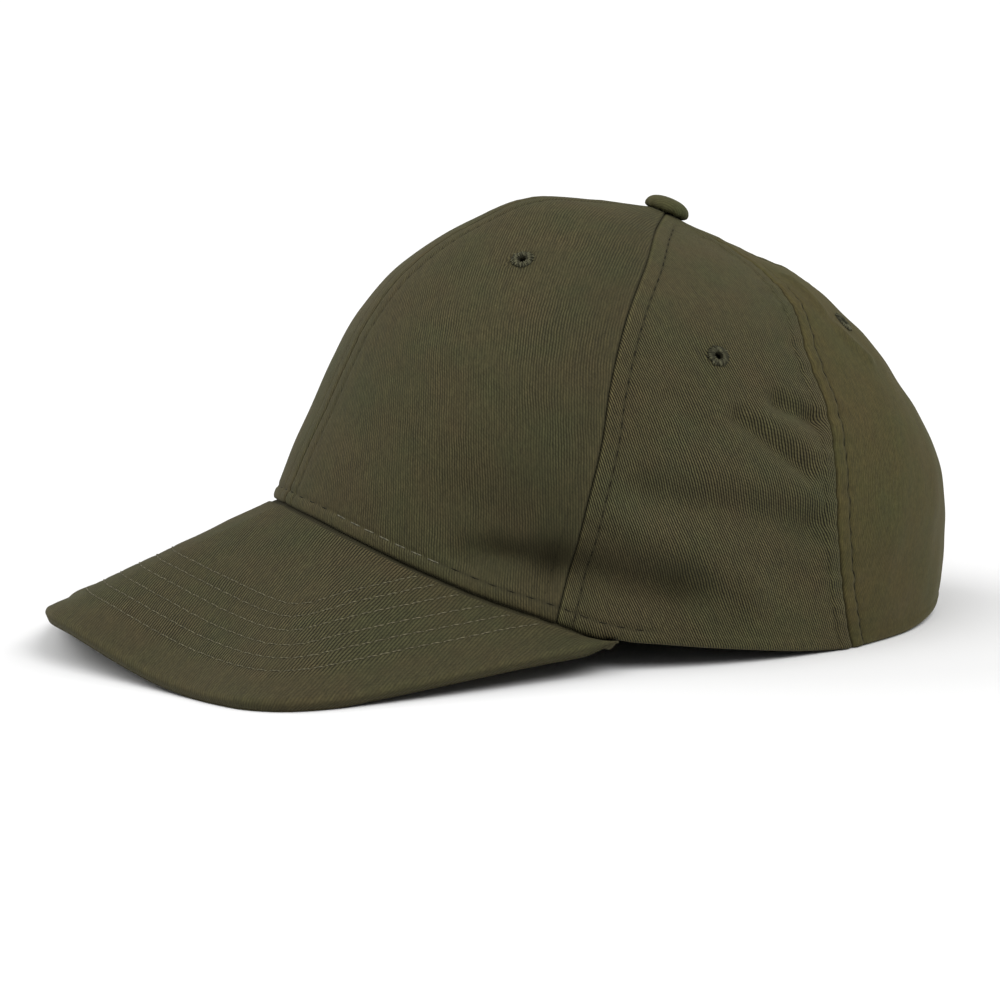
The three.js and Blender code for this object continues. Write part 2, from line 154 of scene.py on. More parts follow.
HEM_ROLL = 1.0           # width over which the cloth turns in at the rim
HEM_PILLOW = 0.3         # how far the hem stands out between its edge and its stitches
HEM_LOW = 0.3            # how far the hem reaches down onto the peak
HEM_CORNER = 1.3         # how much further down it reaches at the peak's corners
HEM_STRETCH = 5.0        # height over which the cloth is drawn down for that
HEM_INSIDE = 0.15        # how much higher the hem ends inside
HEM_SHADE = 0.9          # how much painted shade lies on the hem where it meets the peak
HEM_SHADE_WIDTH = 0.5
HEM_DITCH = 0.5          # depth of the ditch between the hem and the peak, which is also painted with shade
HEM_DITCH_END = 0.95     # from the peak's root to where that ditch rises
HEM_DITCH_RISE = 0.5     # width over which it does
FOLD_PAINTED_SHADE = 0.045     # how much painted shade darkens the cloth for each millimetre of a fold's depth
FOLD_SHADE_ABOVE = 0.03     # how far over the fold's deepest line that is
SIDE_SEAM_PAINTED_SHADE = 0.2       # how much painted shade darkens the front panels beside the side panels
SIDE_SHADE_TURNS = (36, 56)             # turns between which that grows
HEM_PAINTED_LIGHT = 0.35         # how much painted light lies on the hem on the side, towards the back
HEM_LIGHT_TURNS = (82, 98, 108, 116)     # turns at which that starts, is full, fades and ends
HEM_LIGHT_AT = (0.1, 0.26)               # "at" between which it fades
TOP_RUBBED = {FRONT_CLOTH: 0.25, SIDE_CLOTH: 0.85}    # how much of the ribs is worn off on top
RUBBED_AT = (0.66, 0.88)             # "at" between which that grows
# Worn lines beside a seam and over the rim, and a painted highlight on a seam's step: how light, how
# far off, half width
SEAM_WEAR, RIM_WEAR, STEP_HIGHLIGHT = (0.25, 0.9, 0.5), (0.3, 1.2, 0.6), (0.5, 0.75, 0.4)
PEAK_ALLOWANCE = 3.2     # how far the peak's seam allowance stands up inside the rim
PEAK_STITCH_ROWS = (14, 19.5, 25, 31, 36.5, 41.5)    # from the peak's edge
PEAK_STITCH = dict(length=3.75, space=0.25, radius=0.17, sink=-0.05)
PEAK_GROOVE = 0.14       # depth of the grooves that they draw

# The first random seed of each kind of stitching
CROWN_SEED, RIM_SEED, PEAK_TOP_SEED, PEAK_UNDER_SEED = 100, 200, 300, 320
BAND_SEED, EYELET_SEED = 400, 50


# Curves and surfaces

def along(columns, name, at):
    """A smooth curve through one column of a table."""
    x, y = columns["at"], columns[name]
    at = np.asarray(at, float)
    step = np.diff(x)
    rise = np.diff(y) / step
    slope = np.empty_like(y)
    slope[0], slope[-1] = rise[0], rise[-1]
    slope[1:-1] = (rise[:-1] * step[1:] + rise[1:] * step[:-1]) / (step[:-1] + step[1:])
    i = np.clip(np.searchsorted(x, at, side="right") - 1, 0, len(x) - 2)
    return hermite((at - x[i]) / step[i], y[i], y[i + 1], slope[i] * step[i], slope[i + 1] * step[i])


def hermite(t, start, end, start_slope, end_slope):
    t2, t3 = t ** 2, t ** 3
    return ((2 * t3 - 3 * t2 + 1) * start + (t3 - 2 * t2 + t) * start_slope
            + (3 * t2 - 2 * t3) * end + (t3 - t2) * end_slope)


def tilted_height(ring, c):
    """Height of a tilted ring where the cosine of the turn is c."""
    front, side, back = ring["front_z"], ring["side_z"], ring["back_z"]
    return side + (front - back) / 2 * c + ((front + back) / 2 - side) * c * c


def rim_height(turn):
    return np.maximum(0, along(RIM, "height", np.abs(turn)))


def smooth_crown(turn, at):
    """The crown's outside without folds."""
    turn, at = np.broadcast_arrays(np.asarray(turn, float), np.asarray(at, float))
    ring = {k: along(RINGS, k, at) for k in RINGS}
    lowest = {k: v[0] for k, v in RINGS.items()}
    front, back = ring["front_y"], ring["back_y"]
    c, s = np.cos(np.radians(turn)), np.sin(np.radians(turn))
    fall_back = np.where(c > 0, ring["shoulder"] * (2 * s * c) ** 2, 0)
    y = (front + back) / 2 - (back - front) / 2 * c + fall_back
    z = tilted_height(ring, c) + (rim_height(turn) - tilted_height(lowest, c)) * (1 - at) ** 2
    return np.stack([ring["side_x"] * s, y, z], -1)


def unit(v):
    return v / np.maximum(np.linalg.norm(v, axis=-1, keepdims=True), 1e-9)


def surface_normal(surface, u, v, step_u, step_v):
    """Direction straight out of a surface, from small steps over it both ways."""
    a = surface(u + step_u, v) - surface(u - step_u, v)
    b = surface(u, v + step_v) - surface(u, v - step_v)
    return unit(np.cross(a, b))


def crown_normal(turn, at):
    turn, at = np.broadcast_arrays(np.asarray(turn, float), np.clip(at, 0.005, 0.995))
    return surface_normal(smooth_crown, turn, at, 0.25, 0.004)


def near(points, start, end):
    """Distance from each point to a straight line between two places."""
    run = end - start
    share = np.clip(((points - start) @ run) / (run @ run), 0, 1)
    return np.linalg.norm(points - start - share[..., None] * run, axis=-1)


def fold_depth(turn, at):
    """How far the folds take the cloth in."""
    place = smooth_crown(np.abs(turn), at)
    depth = np.zeros(place.shape[:-1])
    for i in range(len(FOLDS["turn"])):
        f = {k: v[i] for k, v in FOLDS.items()}
        start = smooth_crown(f["turn"], f["at"])
        end = smooth_crown(f["to_turn"], f["to_at"])
        depth += f["depth"] * bell(near(place, start, end), f["width"])
    return depth


def folded_in(turn, at):
    """The same, growing from nothing at the rim."""
    return np.minimum(1, at / HEM_FADE) * fold_depth(turn, at)


def unevenness(points, size, seed, terms=7):
    """Gentle random waves of about this size in millimetres, between about -1 and 1."""
    rng = np.random.default_rng(seed)
    total = np.zeros(points.shape[:-1])
    for _ in range(terms):
        direction = unit(rng.normal(size=3))
        pitch = 2 * math.pi / (size * rng.uniform(0.7, 1.6))
        total += np.sin(points @ direction * pitch + rng.uniform(0, 2 * math.pi))
    return total / math.sqrt(terms)


def cloth_waves(points, kinds):
    """How far the cloth waves in and out, from the height, size and seed of each kind of wave."""
    return sum(height * unevenness(points, size, seed) for height, size, seed in kinds)


def rolled_in(distance, reach):
    """1 at an edge and 0 from this reach inwards, round like a folded edge."""
    return 1 - np.sqrt(np.clip(1 - (1 - np.minimum(distance / reach, 1)) ** 2, 0, 1))


def bell(distance, width):
    return np.exp(-(distance / width) ** 2)


def step_up(x, low, high):
    t = np.clip((x - low) / (high - low), 0, 1)
    return t * t * (3 - 2 * t)


def plateau(x, start, full, fade, end):
    """1 between full and fade, and 0 before start and after end."""
    return step_up(x, start, full) * (1 - step_up(x, fade, end))


def worn_line(distance, strength, place, width):
    return strength * bell(distance - place, width)


def arc_length(points, axis):
    """Length along a grid's rows or columns, from its first point."""
    steps = np.linalg.norm(np.diff(points, axis=axis), axis=-1)
    return np.concatenate([np.zeros_like(np.take(steps, [0], axis)), np.cumsum(steps, axis=axis)], axis)


def place_along(line, reach, at):
    """Points of a line at these values of its reach, which grows along it."""
    return np.stack([np.interp(at, reach, line[:, k]) for k in range(3)], -1)


# Meshes

def make_piece(name, points, faces, material, uv=None, slot="crown_cloth"):
    """A mesh object from points in the crown's own place, which rides on the cap."""
    mesh = bpy.data.meshes.new(name)
    points = (points + np.array([0, CROWN_SHIFT, 0])) * MM
    mesh.from_pydata(points.tolist(), [], [list(f) for f in faces])
    if uv is not None:
        layer = mesh.uv_layers.new(name="cloth")
        loops = np.empty(len(mesh.loops), np.int32)
        mesh.loops.foreach_get("vertex_index", loops)
        layer.data.foreach_set("uv", np.asarray(uv, np.float32)[loops].ravel())
    mesh.polygons.foreach_set("use_smooth", np.ones(len(mesh.polygons), bool))
    mesh.materials.append(material)
    mesh.update()
    piece = new_object(name, mesh)
    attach(piece, "root")
    return piece


def new_object(name, data):
    thing = bpy.data.objects.new(name, data)
    bpy.context.scene.collection.objects.link(thing)
    return thing


def mark(piece, label, values):
    """Keeps a value for each point of a piece, which its material reads."""
    attribute = piece.data.attributes.new(label, "FLOAT", "POINT")
    attribute.data.foreach_set("value", np.asarray(values, np.float32))


def both(outer, inner):
    """The values of a wall's two faces, in the order of its points."""
    return np.concatenate([v.reshape(-1, *v.shape[2:]) for v in (outer, inner)])


def wall(upper, lower, round_closed=False, missing=False):
    """Points and faces of a closed wall between two grids (rows, columns, 3). missing marks
    quads that are cut out of it."""
    count = upper[..., 0].size
    ids = np.arange(count).reshape(upper.shape[:2])
    if round_closed:
        ids = np.concatenate([ids, ids[:, :1]], axis=1)
    a, b, c, d = ids[:-1, :-1], ids[:-1, 1:], ids[1:, 1:], ids[1:, :-1]
    kept = np.ones(a.shape, bool) & ~np.array(missing)
    quads = np.stack([a, b, c, d], -1)[kept]
    faces = [quads, quads[:, ::-1] + count]
    padded = np.pad(kept, 1)
    if round_closed:
        padded[1:-1, 0], padded[1:-1, -1] = kept[:, -1], kept[:, 0]
    for beside, p, q in ((padded[:-2, 1:-1], a, b), (padded[1:-1, 2:], b, c),
                         (padded[2:, 1:-1], c, d), (padded[1:-1, :-2], d, a)):
        p, q = p[kept & ~beside], q[kept & ~beside]
        faces.append(np.stack([q, p, p + count, q + count], -1))
    return both(upper, lower), np.concatenate(faces)


TUBE_SIDES = 6
TUBE_RINGS = 7


def all_round(count):
    """Angles spread evenly over a full turn."""
    return np.linspace(0, 2 * math.pi, count, endpoint=False)


def round_faces(ids):
    """Faces between rings of points, which are the rows of ids."""
    after = np.roll(ids, -1, axis=1)
    faces = np.stack([ids[:-1], after[:-1], after[1:], ids[1:]], -1).reshape(-1, 4)
    return [tuple(face) for face in faces]


def tube(centre, across, out, thick):
    """Points and faces of a closed round tube along a line."""
    turn = all_round(TUBE_SIDES)[:, None]
    points = centre[:, None] + thick[:, None, None] * (
        across[:, None] * np.cos(turn) + out[:, None] * np.sin(turn))
    ids = np.arange(TUBE_RINGS * TUBE_SIDES).reshape(TUBE_RINGS, TUBE_SIDES)
    return points.reshape(-1, 3), round_faces(ids) + [tuple(ids[0][::-1]), tuple(ids[-1])]


def joined(parts):
    """The points and faces of several meshes as one."""
    points, faces, first = [], [], 0
    for part_points, part_faces in parts:
        points.append(part_points)
        faces += [tuple(i + first for i in face) for face in part_faces]
        first += len(part_points)
    return np.concatenate(points), faces


# Materials

CLOTH_LIT = (0.083, 0.073, 0.033)
CLOTH_BROWN = (0.088, 0.071, 0.033)
CLOTH_GREEN = (0.074, 0.073, 0.032)
# colour towards which painted shade darkens the cloth
CLOTH_PAINTED_SHADE = (0.026, 0.023, 0.011)
WEAR_AND_PAINTED_LIGHT_TINT = (1.5, 1.5, 1.42, 1)
TWILL_PITCH = 0.76        # millimetres from rib to rib
WAVE_PER_PITCH = 0.314    # a wave texture's scale times its pitch
CROSS_PITCH = 0.8         # the cross threads' pitch as a share of the ribs'
CROSS_DEPTH = 0.35        # how deep the cross threads cut into the ribs
RIB_WAVER = 1.1           # how far the ribs stray, in millimetres
RUBBED_SHADE = 0.42       # how much of a rib's dark side is seen where it is rubbed flat
TWILL_BUMP = 0.00012      # in metres, as is the next one
THREAD_BUMP = 0.0001
THREAD_PLIES, THREAD_SPECKS = 330.0, 260.0    # scales of a thread's two textures


def grey(value):
    return (value, value, value, 1)


def toned(colour, *tones):
    """A colour times each of these tones, and opaque."""
    for tone in tones:
        colour = tuple(c * t for c, t in zip(colour, tone))
    return colour + (1,)


class Look:
    """A material, with short calls that add nodes to it."""

    def __init__(self, name, **values):
        self.material = bpy.data.materials.new(name)
        self.material.use_nodes = True
        self.tree = self.material.node_tree
        self.surface = self.tree.nodes["Principled BSDF"]
        self.put(self.surface, values)

    def put(self, node, values):
        """Sets a node's inputs and options by name. An output is linked to the input."""
        for key, value in values.items():
            socket = key if isinstance(key, int) else node.inputs.find(key.replace("_", " "))
            if socket < 0:
                setattr(node, key, value)
            elif isinstance(value, bpy.types.NodeSocket):
                self.tree.links.new(value, node.inputs[socket])
            else:
                node.inputs[socket].default_value = value

    def add(self, kind, *inputs, **values):
        node = self.tree.nodes.new("ShaderNode" + kind)
        self.put(node, {**values, **dict(enumerate(inputs))})
        return node.outputs[0]

    def noise(self, place, scale, detail, **values):
        return self.add("TexNoise", Vector=place, Scale=scale, Detail=detail, **values)

    def stretched(self, place, x, y):
        return self.add("Mapping", Vector=place, Scale=(x, y, 1))

    def mark(self, label):
        """The value that a piece's points keep under this label."""
        node = self.tree.nodes.new("ShaderNodeAttribute")
        node.attribute_name = label
        return node.outputs["Fac"]

    def mix(self, share, a, b, blend="MIX"):
        node = self.tree.nodes.new("ShaderNodeMix")
        node.data_type, node.blend_type = "RGBA", blend
        self.put(node, {0: share, 6: a, 7: b})
        return node.outputs[2]

    def times(self, a, b):
        return self.mix(1.0, a, b, "MULTIPLY")

    def ramp(self, value, *stops):
        """A colour for each value: stops are pairs of position and colour, or of grey."""
        node = self.tree.nodes.new("ShaderNodeValToRGB")
        self.tree.links.new(value, node.inputs[0])
        points = node.color_ramp.elements
        for i, (position, colour) in enumerate(stops):
            point = points[i] if i < 2 else points.new(position)
            point.position = position
            point.color = colour if isinstance(colour, tuple) else grey(colour)
        return node.outputs[0]

    def bump(self, height, strength, distance):
        normal = self.add("Bump", Height=height, Strength=strength, Distance=distance)
        self.put(self.surface, {"Normal": normal})


def twill(name, angle, tone=1.0, rib=0.8, coarse=1.0, relief=0.55, patchy=0.5, tint=(1, 1, 1)):
    """Cotton twill: ribs at this angle, in degrees from the cloth's upright direction, broken up
    by the cross threads and worn flat in patches, with uneven dye, flecks, and a soft sheen from
    its nap. Where a piece's points say so, it is lightened by wear and by painted light, and
    darkened by painted shade."""
    look = Look(name, Roughness=0.86, Sheen_Weight=0.10, Sheen_Roughness=0.4,
                Sheen_Tint=(0.6, 0.56, 0.34, 1), Specular_IOR_Level=0.15)
    uv = look.add("UVMap", uv_map="cloth")
    turned = wavering(look, uv, angle)
    weave = ribs_and_cross_threads(look, turned, TWILL_PITCH * coarse)
    slub = look.noise(look.stretched(turned, 1.1, 0.16), 1.0, 3.0, Roughness=0.65)
    fleck = look.noise(look.stretched(turned, 1.9, 0.65), 1.0, 2.0, Roughness=0.7)
    patches = look.noise(turned, 0.055, 5.0, Roughness=0.7)
    dye = look.noise(uv, 0.035, 4.0, Roughness=0.6)

    green, brown, lit, deep = (toned(colour, (tone,) * 3, tint)
                               for colour in (CLOTH_GREEN, CLOTH_BROWN, CLOTH_LIT, CLOTH_PAINTED_SHADE))
    dyed = look.ramp(dye, (0.34, green), (0.66, brown), (0.5, lit))
    flat = look.add("Math", look.ramp(patches, (0.38, 0.0), (0.64, patchy)), look.mark("rubbed"),
                    operation="MAXIMUM")
    threads = look.mix(flat, look.ramp(weave, (0.0, 1 - rib), (0.75, 1.0)),
                       grey(1 - RUBBED_SHADE * rib))
    shaded = look.times(look.times(dyed, threads), look.ramp(slub, (0.25, 0.80), (0.75, 1.16)))
    shaded = look.times(shaded, look.ramp(fleck, (0.3, 0.76), (0.7, 1.2)))
    # lightened where the points' mark holds wear and painted light
    lightened = look.mix(look.mark("wear_and_painted_light"), shaded, look.times(shaded, WEAR_AND_PAINTED_LIGHT_TINT))
    look.put(look.surface, {
        # painted shade: the cloth is darkened towards its deep colour where the points' mark says so
        "Base Color": look.mix(look.mark("ditch_and_painted_shade"), lightened, deep),
        "Roughness": look.ramp(slub, (0.3, 0.80), (0.7, 0.94)),
    })
    half_slub = look.add("Math", slub, 0.5, operation="MULTIPLY")
    look.bump(look.add("Math", weave, half_slub, operation="ADD"), relief, TWILL_BUMP)
    return look.material


def wavering(look, uv, angle):
    """The cloth's own place, turned to the ribs' angle and a little astray."""
    node = look.tree.nodes.new("ShaderNodeTexNoise")
    look.put(node, dict(Vector=uv, Scale=0.11, Detail=3.0, Roughness=0.5))
    spread = look.add("VectorMath", node.outputs["Color"], operation="SCALE", Scale=RIB_WAVER)
    shifted = look.add("VectorMath", uv, spread, operation="ADD")
    return look.add("Mapping", Vector=shifted, Rotation=(0, 0, math.radians(angle)))


def bands(look, place, direction, pitch, **values):
    node = look.tree.nodes.new("ShaderNodeTexWave")
    look.put(node, dict(Vector=place, wave_type="BANDS", bands_direction=direction,
                        Scale=WAVE_PER_PITCH / pitch, **values))
    return node.outputs["Fac"]


def ribs_and_cross_threads(look, place, pitch):
    ribs = bands(look, place, "X", pitch, Distortion=0.35, Detail=2.0, Detail_Scale=1.6)
    cross = bands(look, place, "DIAGONAL", pitch * CROSS_PITCH, Distortion=0.6)
    cut = look.add("Math", cross, CROSS_DEPTH, 1 - CROSS_DEPTH, operation="MULTIPLY_ADD")
    return look.add("Math", ribs, cut, operation="MULTIPLY")


def thread(name, colour, sheen, gloss):
    """Sewing thread: twisted plies along its length and a slight gloss. Where a piece's points say so,
    it is darkened by painted shade.
    """
    look = Look(name, Roughness=0.62, Sheen_Weight=sheen, Sheen_Roughness=0.4,
                Sheen_Tint=(0.7, 0.7, 0.55, 1), Specular_IOR_Level=gloss)
    place = look.tree.nodes.new("ShaderNodeTexCoord").outputs["Object"]
    plies = bands(look, place, "DIAGONAL", WAVE_PER_PITCH / THREAD_PLIES, Distortion=1.5)
    specks = look.noise(place, THREAD_SPECKS, 3.0)
    dark, light, deep = (toned(colour, (share,) * 3) for share in (0.62, 1.28, 0.15))
    patchy = look.times(look.ramp(plies, (0.1, dark), (0.8, light)),
                        look.ramp(specks, (0.35, 0.8), (0.65, 1.15)))
    # painted shade: the thread is darkened where the points' mark says so
    look.put(look.surface, {"Base Color": look.mix(look.mark("ditch_and_painted_shade"), patchy, deep)})
    look.bump(plies, 0.6, THREAD_BUMP)
    return look.material


def floor_material():
    look = Look("pale_floor", Roughness=0.9, Specular_IOR_Level=0.1)
    grain = look.add("TexNoise", Scale=3.0, Detail=2.0)
    look.put(look.surface, {"Base Color": look.ramp(grain, (0.3, 0.80), (0.7, 0.81))})
    return look.material


FRONT_TWILL = twill("twill_front", -20, tone=0.9, rib=0.74, relief=0.5, patchy=0.75)
SIDE_TWILL = twill("twill_side", -25, tone=1.1, rib=1.0, coarse=0.94, relief=0.9, patchy=0.15)
BACK_TWILL = twill("twill_back", 20, tone=0.76, rib=0.3, relief=0.25, tint=(1, 0.965, 0.76))
PEAK_TWILL = twill("twill_peak", 38, rib=1.0, coarse=1.1, relief=0.8, patchy=0.55)
UNDER_TWILL = twill("twill_peak_under", 35, tone=0.95)
BUTTON_TWILL = twill("twill_button", 30, tone=0.94, rib=0.35, relief=0.3, tint=(0.88, 1, 0.9))
BAND_TWILL = twill("twill_band", 90, tone=0.82, coarse=0.7)
SEAM_THREAD = thread("seam_thread", (0.016, 0.0145, 0.008), 0.0, 0.06)
# a lit copy of the rim row's thread: painted highlight on its stitches that lie on top
LIT_RIM_THREAD = thread("rim_thread_painted_lit", (0.095, 0.088, 0.055), 0.15, 0.35)
PEAK_THREAD = thread("peak_thread", (0.108, 0.098, 0.058), 0.05, 0.15)
EYELET_THREAD = thread("eyelet_thread", (0.084, 0.081, 0.047), 0.0, 0.1)


# Stitches

STITCH_JITTER = 0.12     # how far a stitch starts from its even place, and how far it slants
LENGTH_JITTER = 0.15


def stitch_row(points, normals, seed, sink=0.1, length=STITCH_LENGTH, space=STITCH_SPACE,
               radius=THREAD_RADIUS):
    """Rounded stitches that lie along a line on the cloth and dive in at both ends."""
    rng = random.Random(seed)
    reach = arc_length(points, 0)
    total = reach[-1]
    count = max(1, int(total / (length + space)))
    pitch = total / count
    arch = np.sin(np.linspace(0, math.pi, TUBE_RINGS))
    stitches = []
    for i in range(count):
        start = (i + 0.5 * space / pitch) * pitch + rng.uniform(-STITCH_JITTER, STITCH_JITTER)
        end = start + length + rng.uniform(-LENGTH_JITTER, LENGTH_JITTER)
        at = np.linspace(start, min(end, total), TUBE_RINGS)
        centre = place_along(points, reach, at)
        out = unit(place_along(normals, reach, at))
        across = unit(np.cross(unit(np.gradient(centre, axis=0)), out))
        slant = rng.uniform(-STITCH_JITTER, STITCH_JITTER)
        centre = centre + out * (radius * (1.5 * arch ** 0.6 - 1.0) - sink)[:, None]
        centre = centre + across * (slant * np.linspace(-1, 1, TUBE_RINGS))[:, None]
        stitches.append(tube(centre, across, out, radius * (0.55 + 0.45 * arch ** 0.5)))
    return joined(stitches)


# Crown panels

COLUMNS = 97
ROWS = 151
SEAM_CLOSENESS = 0.72    # how much closer together the columns are at the seams
RIM_CLOSENESS = 0.10     # and the rows at the rim
CROWN_WAVES = ((0.30, 38, 3), (0.12, 15, 4))
WAVES_FADE = 0.08        # "at" up to which the waves grow from nothing
WAVES_INSIDE = 0.8       # how much of the waves shows inside
FRONT_STIFFNESS = 0.45   # and how much of them a front panel has
EYELET_CUT = 2.7         # radius in which the cloth is cut away for an eyelet
EYELET_EDGE = 2.3        # radius to which the hole's edge is then rounded

# Each seam's look: how deep it puckers, the pitch of the puckers, how high its welt stands, how
# deep the cloth turns in at it, how much painted shade lies in its line, and how much painted
# shade lies along the rows of stitches in front of it and behind it, which also deepens their
# grooves and lifts their stitches.
SEAM_VALUES = "pucker pitch welt depth line front behind seed".split()
SEAM_LOOK = {seam: dict(zip(SEAM_VALUES, row)) for seam, *row in [
    ("centre_front", 0.05, 7.0, 0.2, 0.3, 0.5, 0.3, 0.3, 11),
    ("front_to_side", 0.07, 8.5, 0.26, 0.42, 0.65, 0.15, 0.8, 12),
    ("side_to_back", 0.24, 7.5, 0.34, 0.32, 0.6, 0.1, 0.95, 13),
    ("centre_back", 0.14, 9.0, 0.32, 0.4, 0.5, 0.4, 0.4, 14),
]}


def seam_turn(name, at):
    """Turn of a seam on the wearer's left."""
    ends = {"centre_front": 0.0, "centre_back": 180.0}
    return np.full_like(at, ends[name]) if name in ends else along(SEAMS, name, at)


def seam_relief(distance, length, look, width, row):
    """How far the cloth stands out beside a seam: it rolls in at the seam, lifts over the seam
    allowance, dips under the stitches and puckers along them."""
    d = np.maximum(distance, 0)
    roll = -look["depth"] * rolled_in(d, SEAM_ROLL)
    welt = look["welt"] * plateau(d, 0.2, 1.4, TOPSTITCH - 0.9, TOPSTITCH + 0.5)
    groove = -STITCH_DIP * (0.3 + 0.7 * row) * bell(d - TOPSTITCH, STITCH_GROOVE)
    rng = np.random.default_rng(look["seed"])
    wave = np.zeros_like(length)
    for share in (1.0, 0.62, 1.45):
        wave += np.cos(2 * math.pi * length / (look["pitch"] * share) + rng.uniform(0, 6.28))
    reach = bell(d - TOPSTITCH, 4.2) + 0.5 * bell(d, 3.0)
    puckers = look["pucker"] * wave / 1.7 * reach
    narrow = step_up(width, 6.0, 22.0)
    return roll + (welt + groove + puckers) * narrow


def rim_is_sewn(turn):
    return 1 - step_up(np.abs(turn), RIM_STITCH_END, RIM_STITCH_END + 3)


def hem_relief(height, turn):
    """How the cloth turns in at the rim, and dips under the peak's stitches."""
    roll = -HEM_ROLL * rolled_in(height, HEM_ROLL)
    groove = -STITCH_DIP * bell(height - RIM_STITCH, STITCH_GROOVE) * rim_is_sewn(turn)
    pillow = HEM_PILLOW * plateau(height, 0.3, 1.6, RIM_STITCH - 0.8, RIM_STITCH + 0.4)
    return roll + groove + pillow


class Panel:
    """One panel of the crown as a fine grid, with its seams, folds and hem. seams are its front
    one and its back one, and steps the shares of SEAM_STEP by which it sinks at them. A right
    panel mirrors a left one."""

    def __init__(self, name, right, seams, steps, cloth, eyelet, material):
        self.name, self.cloth, self.material = name, cloth, material
        self.hand = -1 if right else 1
        self.eyelet = (self.hand * eyelet[0], eyelet[1])
        ends = [(seams[0], "behind", steps[0]), (seams[1], "front", steps[1])][::self.hand]
        self.looks = [SEAM_LOOK[seam] for seam, _, _ in ends]
        self.rows = [look[key] for look, (_, key, _) in zip(self.looks, ends)]
        self.steps = [step for _, _, step in ends]
        self.lay_out([seam for seam, _, _ in ends])
        self.shape()
        self.draw_hem_down()
        self.shade()

    def lay_out(self, seams):
        s, t = np.linspace(0, 1, COLUMNS), np.linspace(0, 1, ROWS)
        self.share, self.at = np.meshgrid(
            s - SEAM_CLOSENESS * np.sin(2 * math.pi * s) / (2 * math.pi),
            t - RIM_CLOSENESS * np.sin(math.pi * t))
        low, high = (self.hand * seam_turn(seam, self.at) for seam in seams)
        width = np.linalg.norm(smooth_crown(low, self.at) - smooth_crown(high, self.at), axis=-1)

        def turns(slit):
            inset = slit / 2 * (high - low) / width
            return low + inset + (high - low - 2 * inset) * self.share

        self.turn, self.inner_turn = turns(SEAM_SLIT), turns(SEAM_CLOSED)
        self.base = smooth_crown(self.turn, self.at)
        self.normal = crown_normal(self.turn, self.at)
        self.across = arc_length(self.base, 1)
        self.up = arc_length(self.base, 0)
        self.width = self.across[:, -1:] + 0 * self.across
        self.from_seams = (self.across, self.width - self.across)

    def shape(self):
        """Takes the cloth in and out: seams, hem, gentle waves, folds, and the step of a seam."""
        relief = hem_relief(self.up, self.turn)
        for distance, look, row in zip(self.from_seams, self.looks, self.rows):
            relief = relief + seam_relief(distance, self.up, look, self.width, row)
        mirrored = self.base * np.array([self.hand, 1, 1])
        mirrored[..., 0] = np.abs(mirrored[..., 0])
        waves = cloth_waves(mirrored, CROWN_WAVES) * step_up(self.at, 0, WAVES_FADE)
        waves = waves * (FRONT_STIFFNESS if self.cloth == FRONT_CLOTH else 1)
        sunk = SEAM_STEP * sum(step * np.maximum(0, 1 - share / SEAM_STEP_FADE) ** 2
                               for step, share in zip(self.steps, (self.share, 1 - self.share)))
        inwards = folded_in(self.turn, self.at) + sunk
        self.out = relief + waves - inwards
        self.outside = self.base + self.normal * self.out[..., None]
        inner_out = waves * WAVES_INSIDE - inwards - self.cloth
        self.inside = smooth_crown(self.inner_turn, self.at) + self.normal * inner_out[..., None]

    def draw_hem_down(self):
        """Draws the hem down onto the peak, and further at the peak's corners."""
        turn = np.abs(self.turn[0])
        rim = rim_height(turn)
        self.over_peak = 1 - step_up(turn, PEAK_TURN - 2, PEAK_TURN + 1)
        low = (HEM_LOW + HEM_CORNER * (turn / PEAK_TURN) ** 6) * self.over_peak
        drop = low * np.maximum(0, 1 - self.up / HEM_STRETCH) ** 2
        self.outside[..., 2] -= drop
        self.outside[0, :, 2] = rim - low
        self.inside[0, :, 2] = rim - low + HEM_INSIDE
        self.over_hem = self.up + low - drop

    def shade(self):
        """Where the cloth gets painted shade: in its seams, along its rows of stitches, along the rim's
        sunk row, on the hem at the peak, over the folds and, on a front panel, towards the side panel.
        Where it is worn light beside the seams and over the rim, and where it gets painted light: a
        highlight on a seam's step and, on the other panels, light low down towards the back. And where
        its ribs are rubbed flat on top.
        """
        turn, d = np.abs(self.turn), self.from_seams
        # painted shade in each seam's line and along its rows of stitches
        dark = sum(look["line"] * bell(distance, DITCH_WIDTH)
                   + row * bell(distance - TOPSTITCH, ROW_WIDTH) * step_up(self.width, 8, 16)
                   for distance, look, row in zip(d, self.looks, self.rows))
        # painted shade along the rim's sunk row of stitches
        sewn = step_up(turn, LIGHT_ROW_END - 4, LIGHT_ROW_END) * rim_is_sewn(turn)
        dark += RIM_ROW_DARK * sewn * bell(self.up - RIM_STITCH, ROW_WIDTH)
        # painted shade on the hem where it meets the peak
        dark += HEM_SHADE * bell(self.over_hem, HEM_SHADE_WIDTH) * self.over_peak
        # painted shade over the folds, a little above their deepest lines
        dark += FOLD_PAINTED_SHADE * np.maximum(0, fold_depth(turn, self.at - FOLD_SHADE_ABOVE))
        light = worn_line(np.minimum(*d), *SEAM_WEAR) + worn_line(self.up, *RIM_WEAR)
        # painted highlight on a seam's step
        light += sum(step * worn_line(distance, *STEP_HIGHLIGHT) for distance, step in zip(d, self.steps))
        if self.cloth == FRONT_CLOTH:
            # painted shade on the front panels towards the side panels
            dark += SIDE_SEAM_PAINTED_SHADE * step_up(turn, *SIDE_SHADE_TURNS)
        else:
            # painted light low on the side and back panels, towards the back
            light += HEM_PAINTED_LIGHT * plateau(turn, *HEM_LIGHT_TURNS) * (1 - step_up(self.at, *HEM_LIGHT_AT))
        self.marks = dict(ditch_and_painted_shade=np.clip(dark, 0, 1), wear_and_painted_light=np.clip(light, 0, 1),
                          rubbed=TOP_RUBBED[self.cloth] * step_up(self.at, *RUBBED_AT))

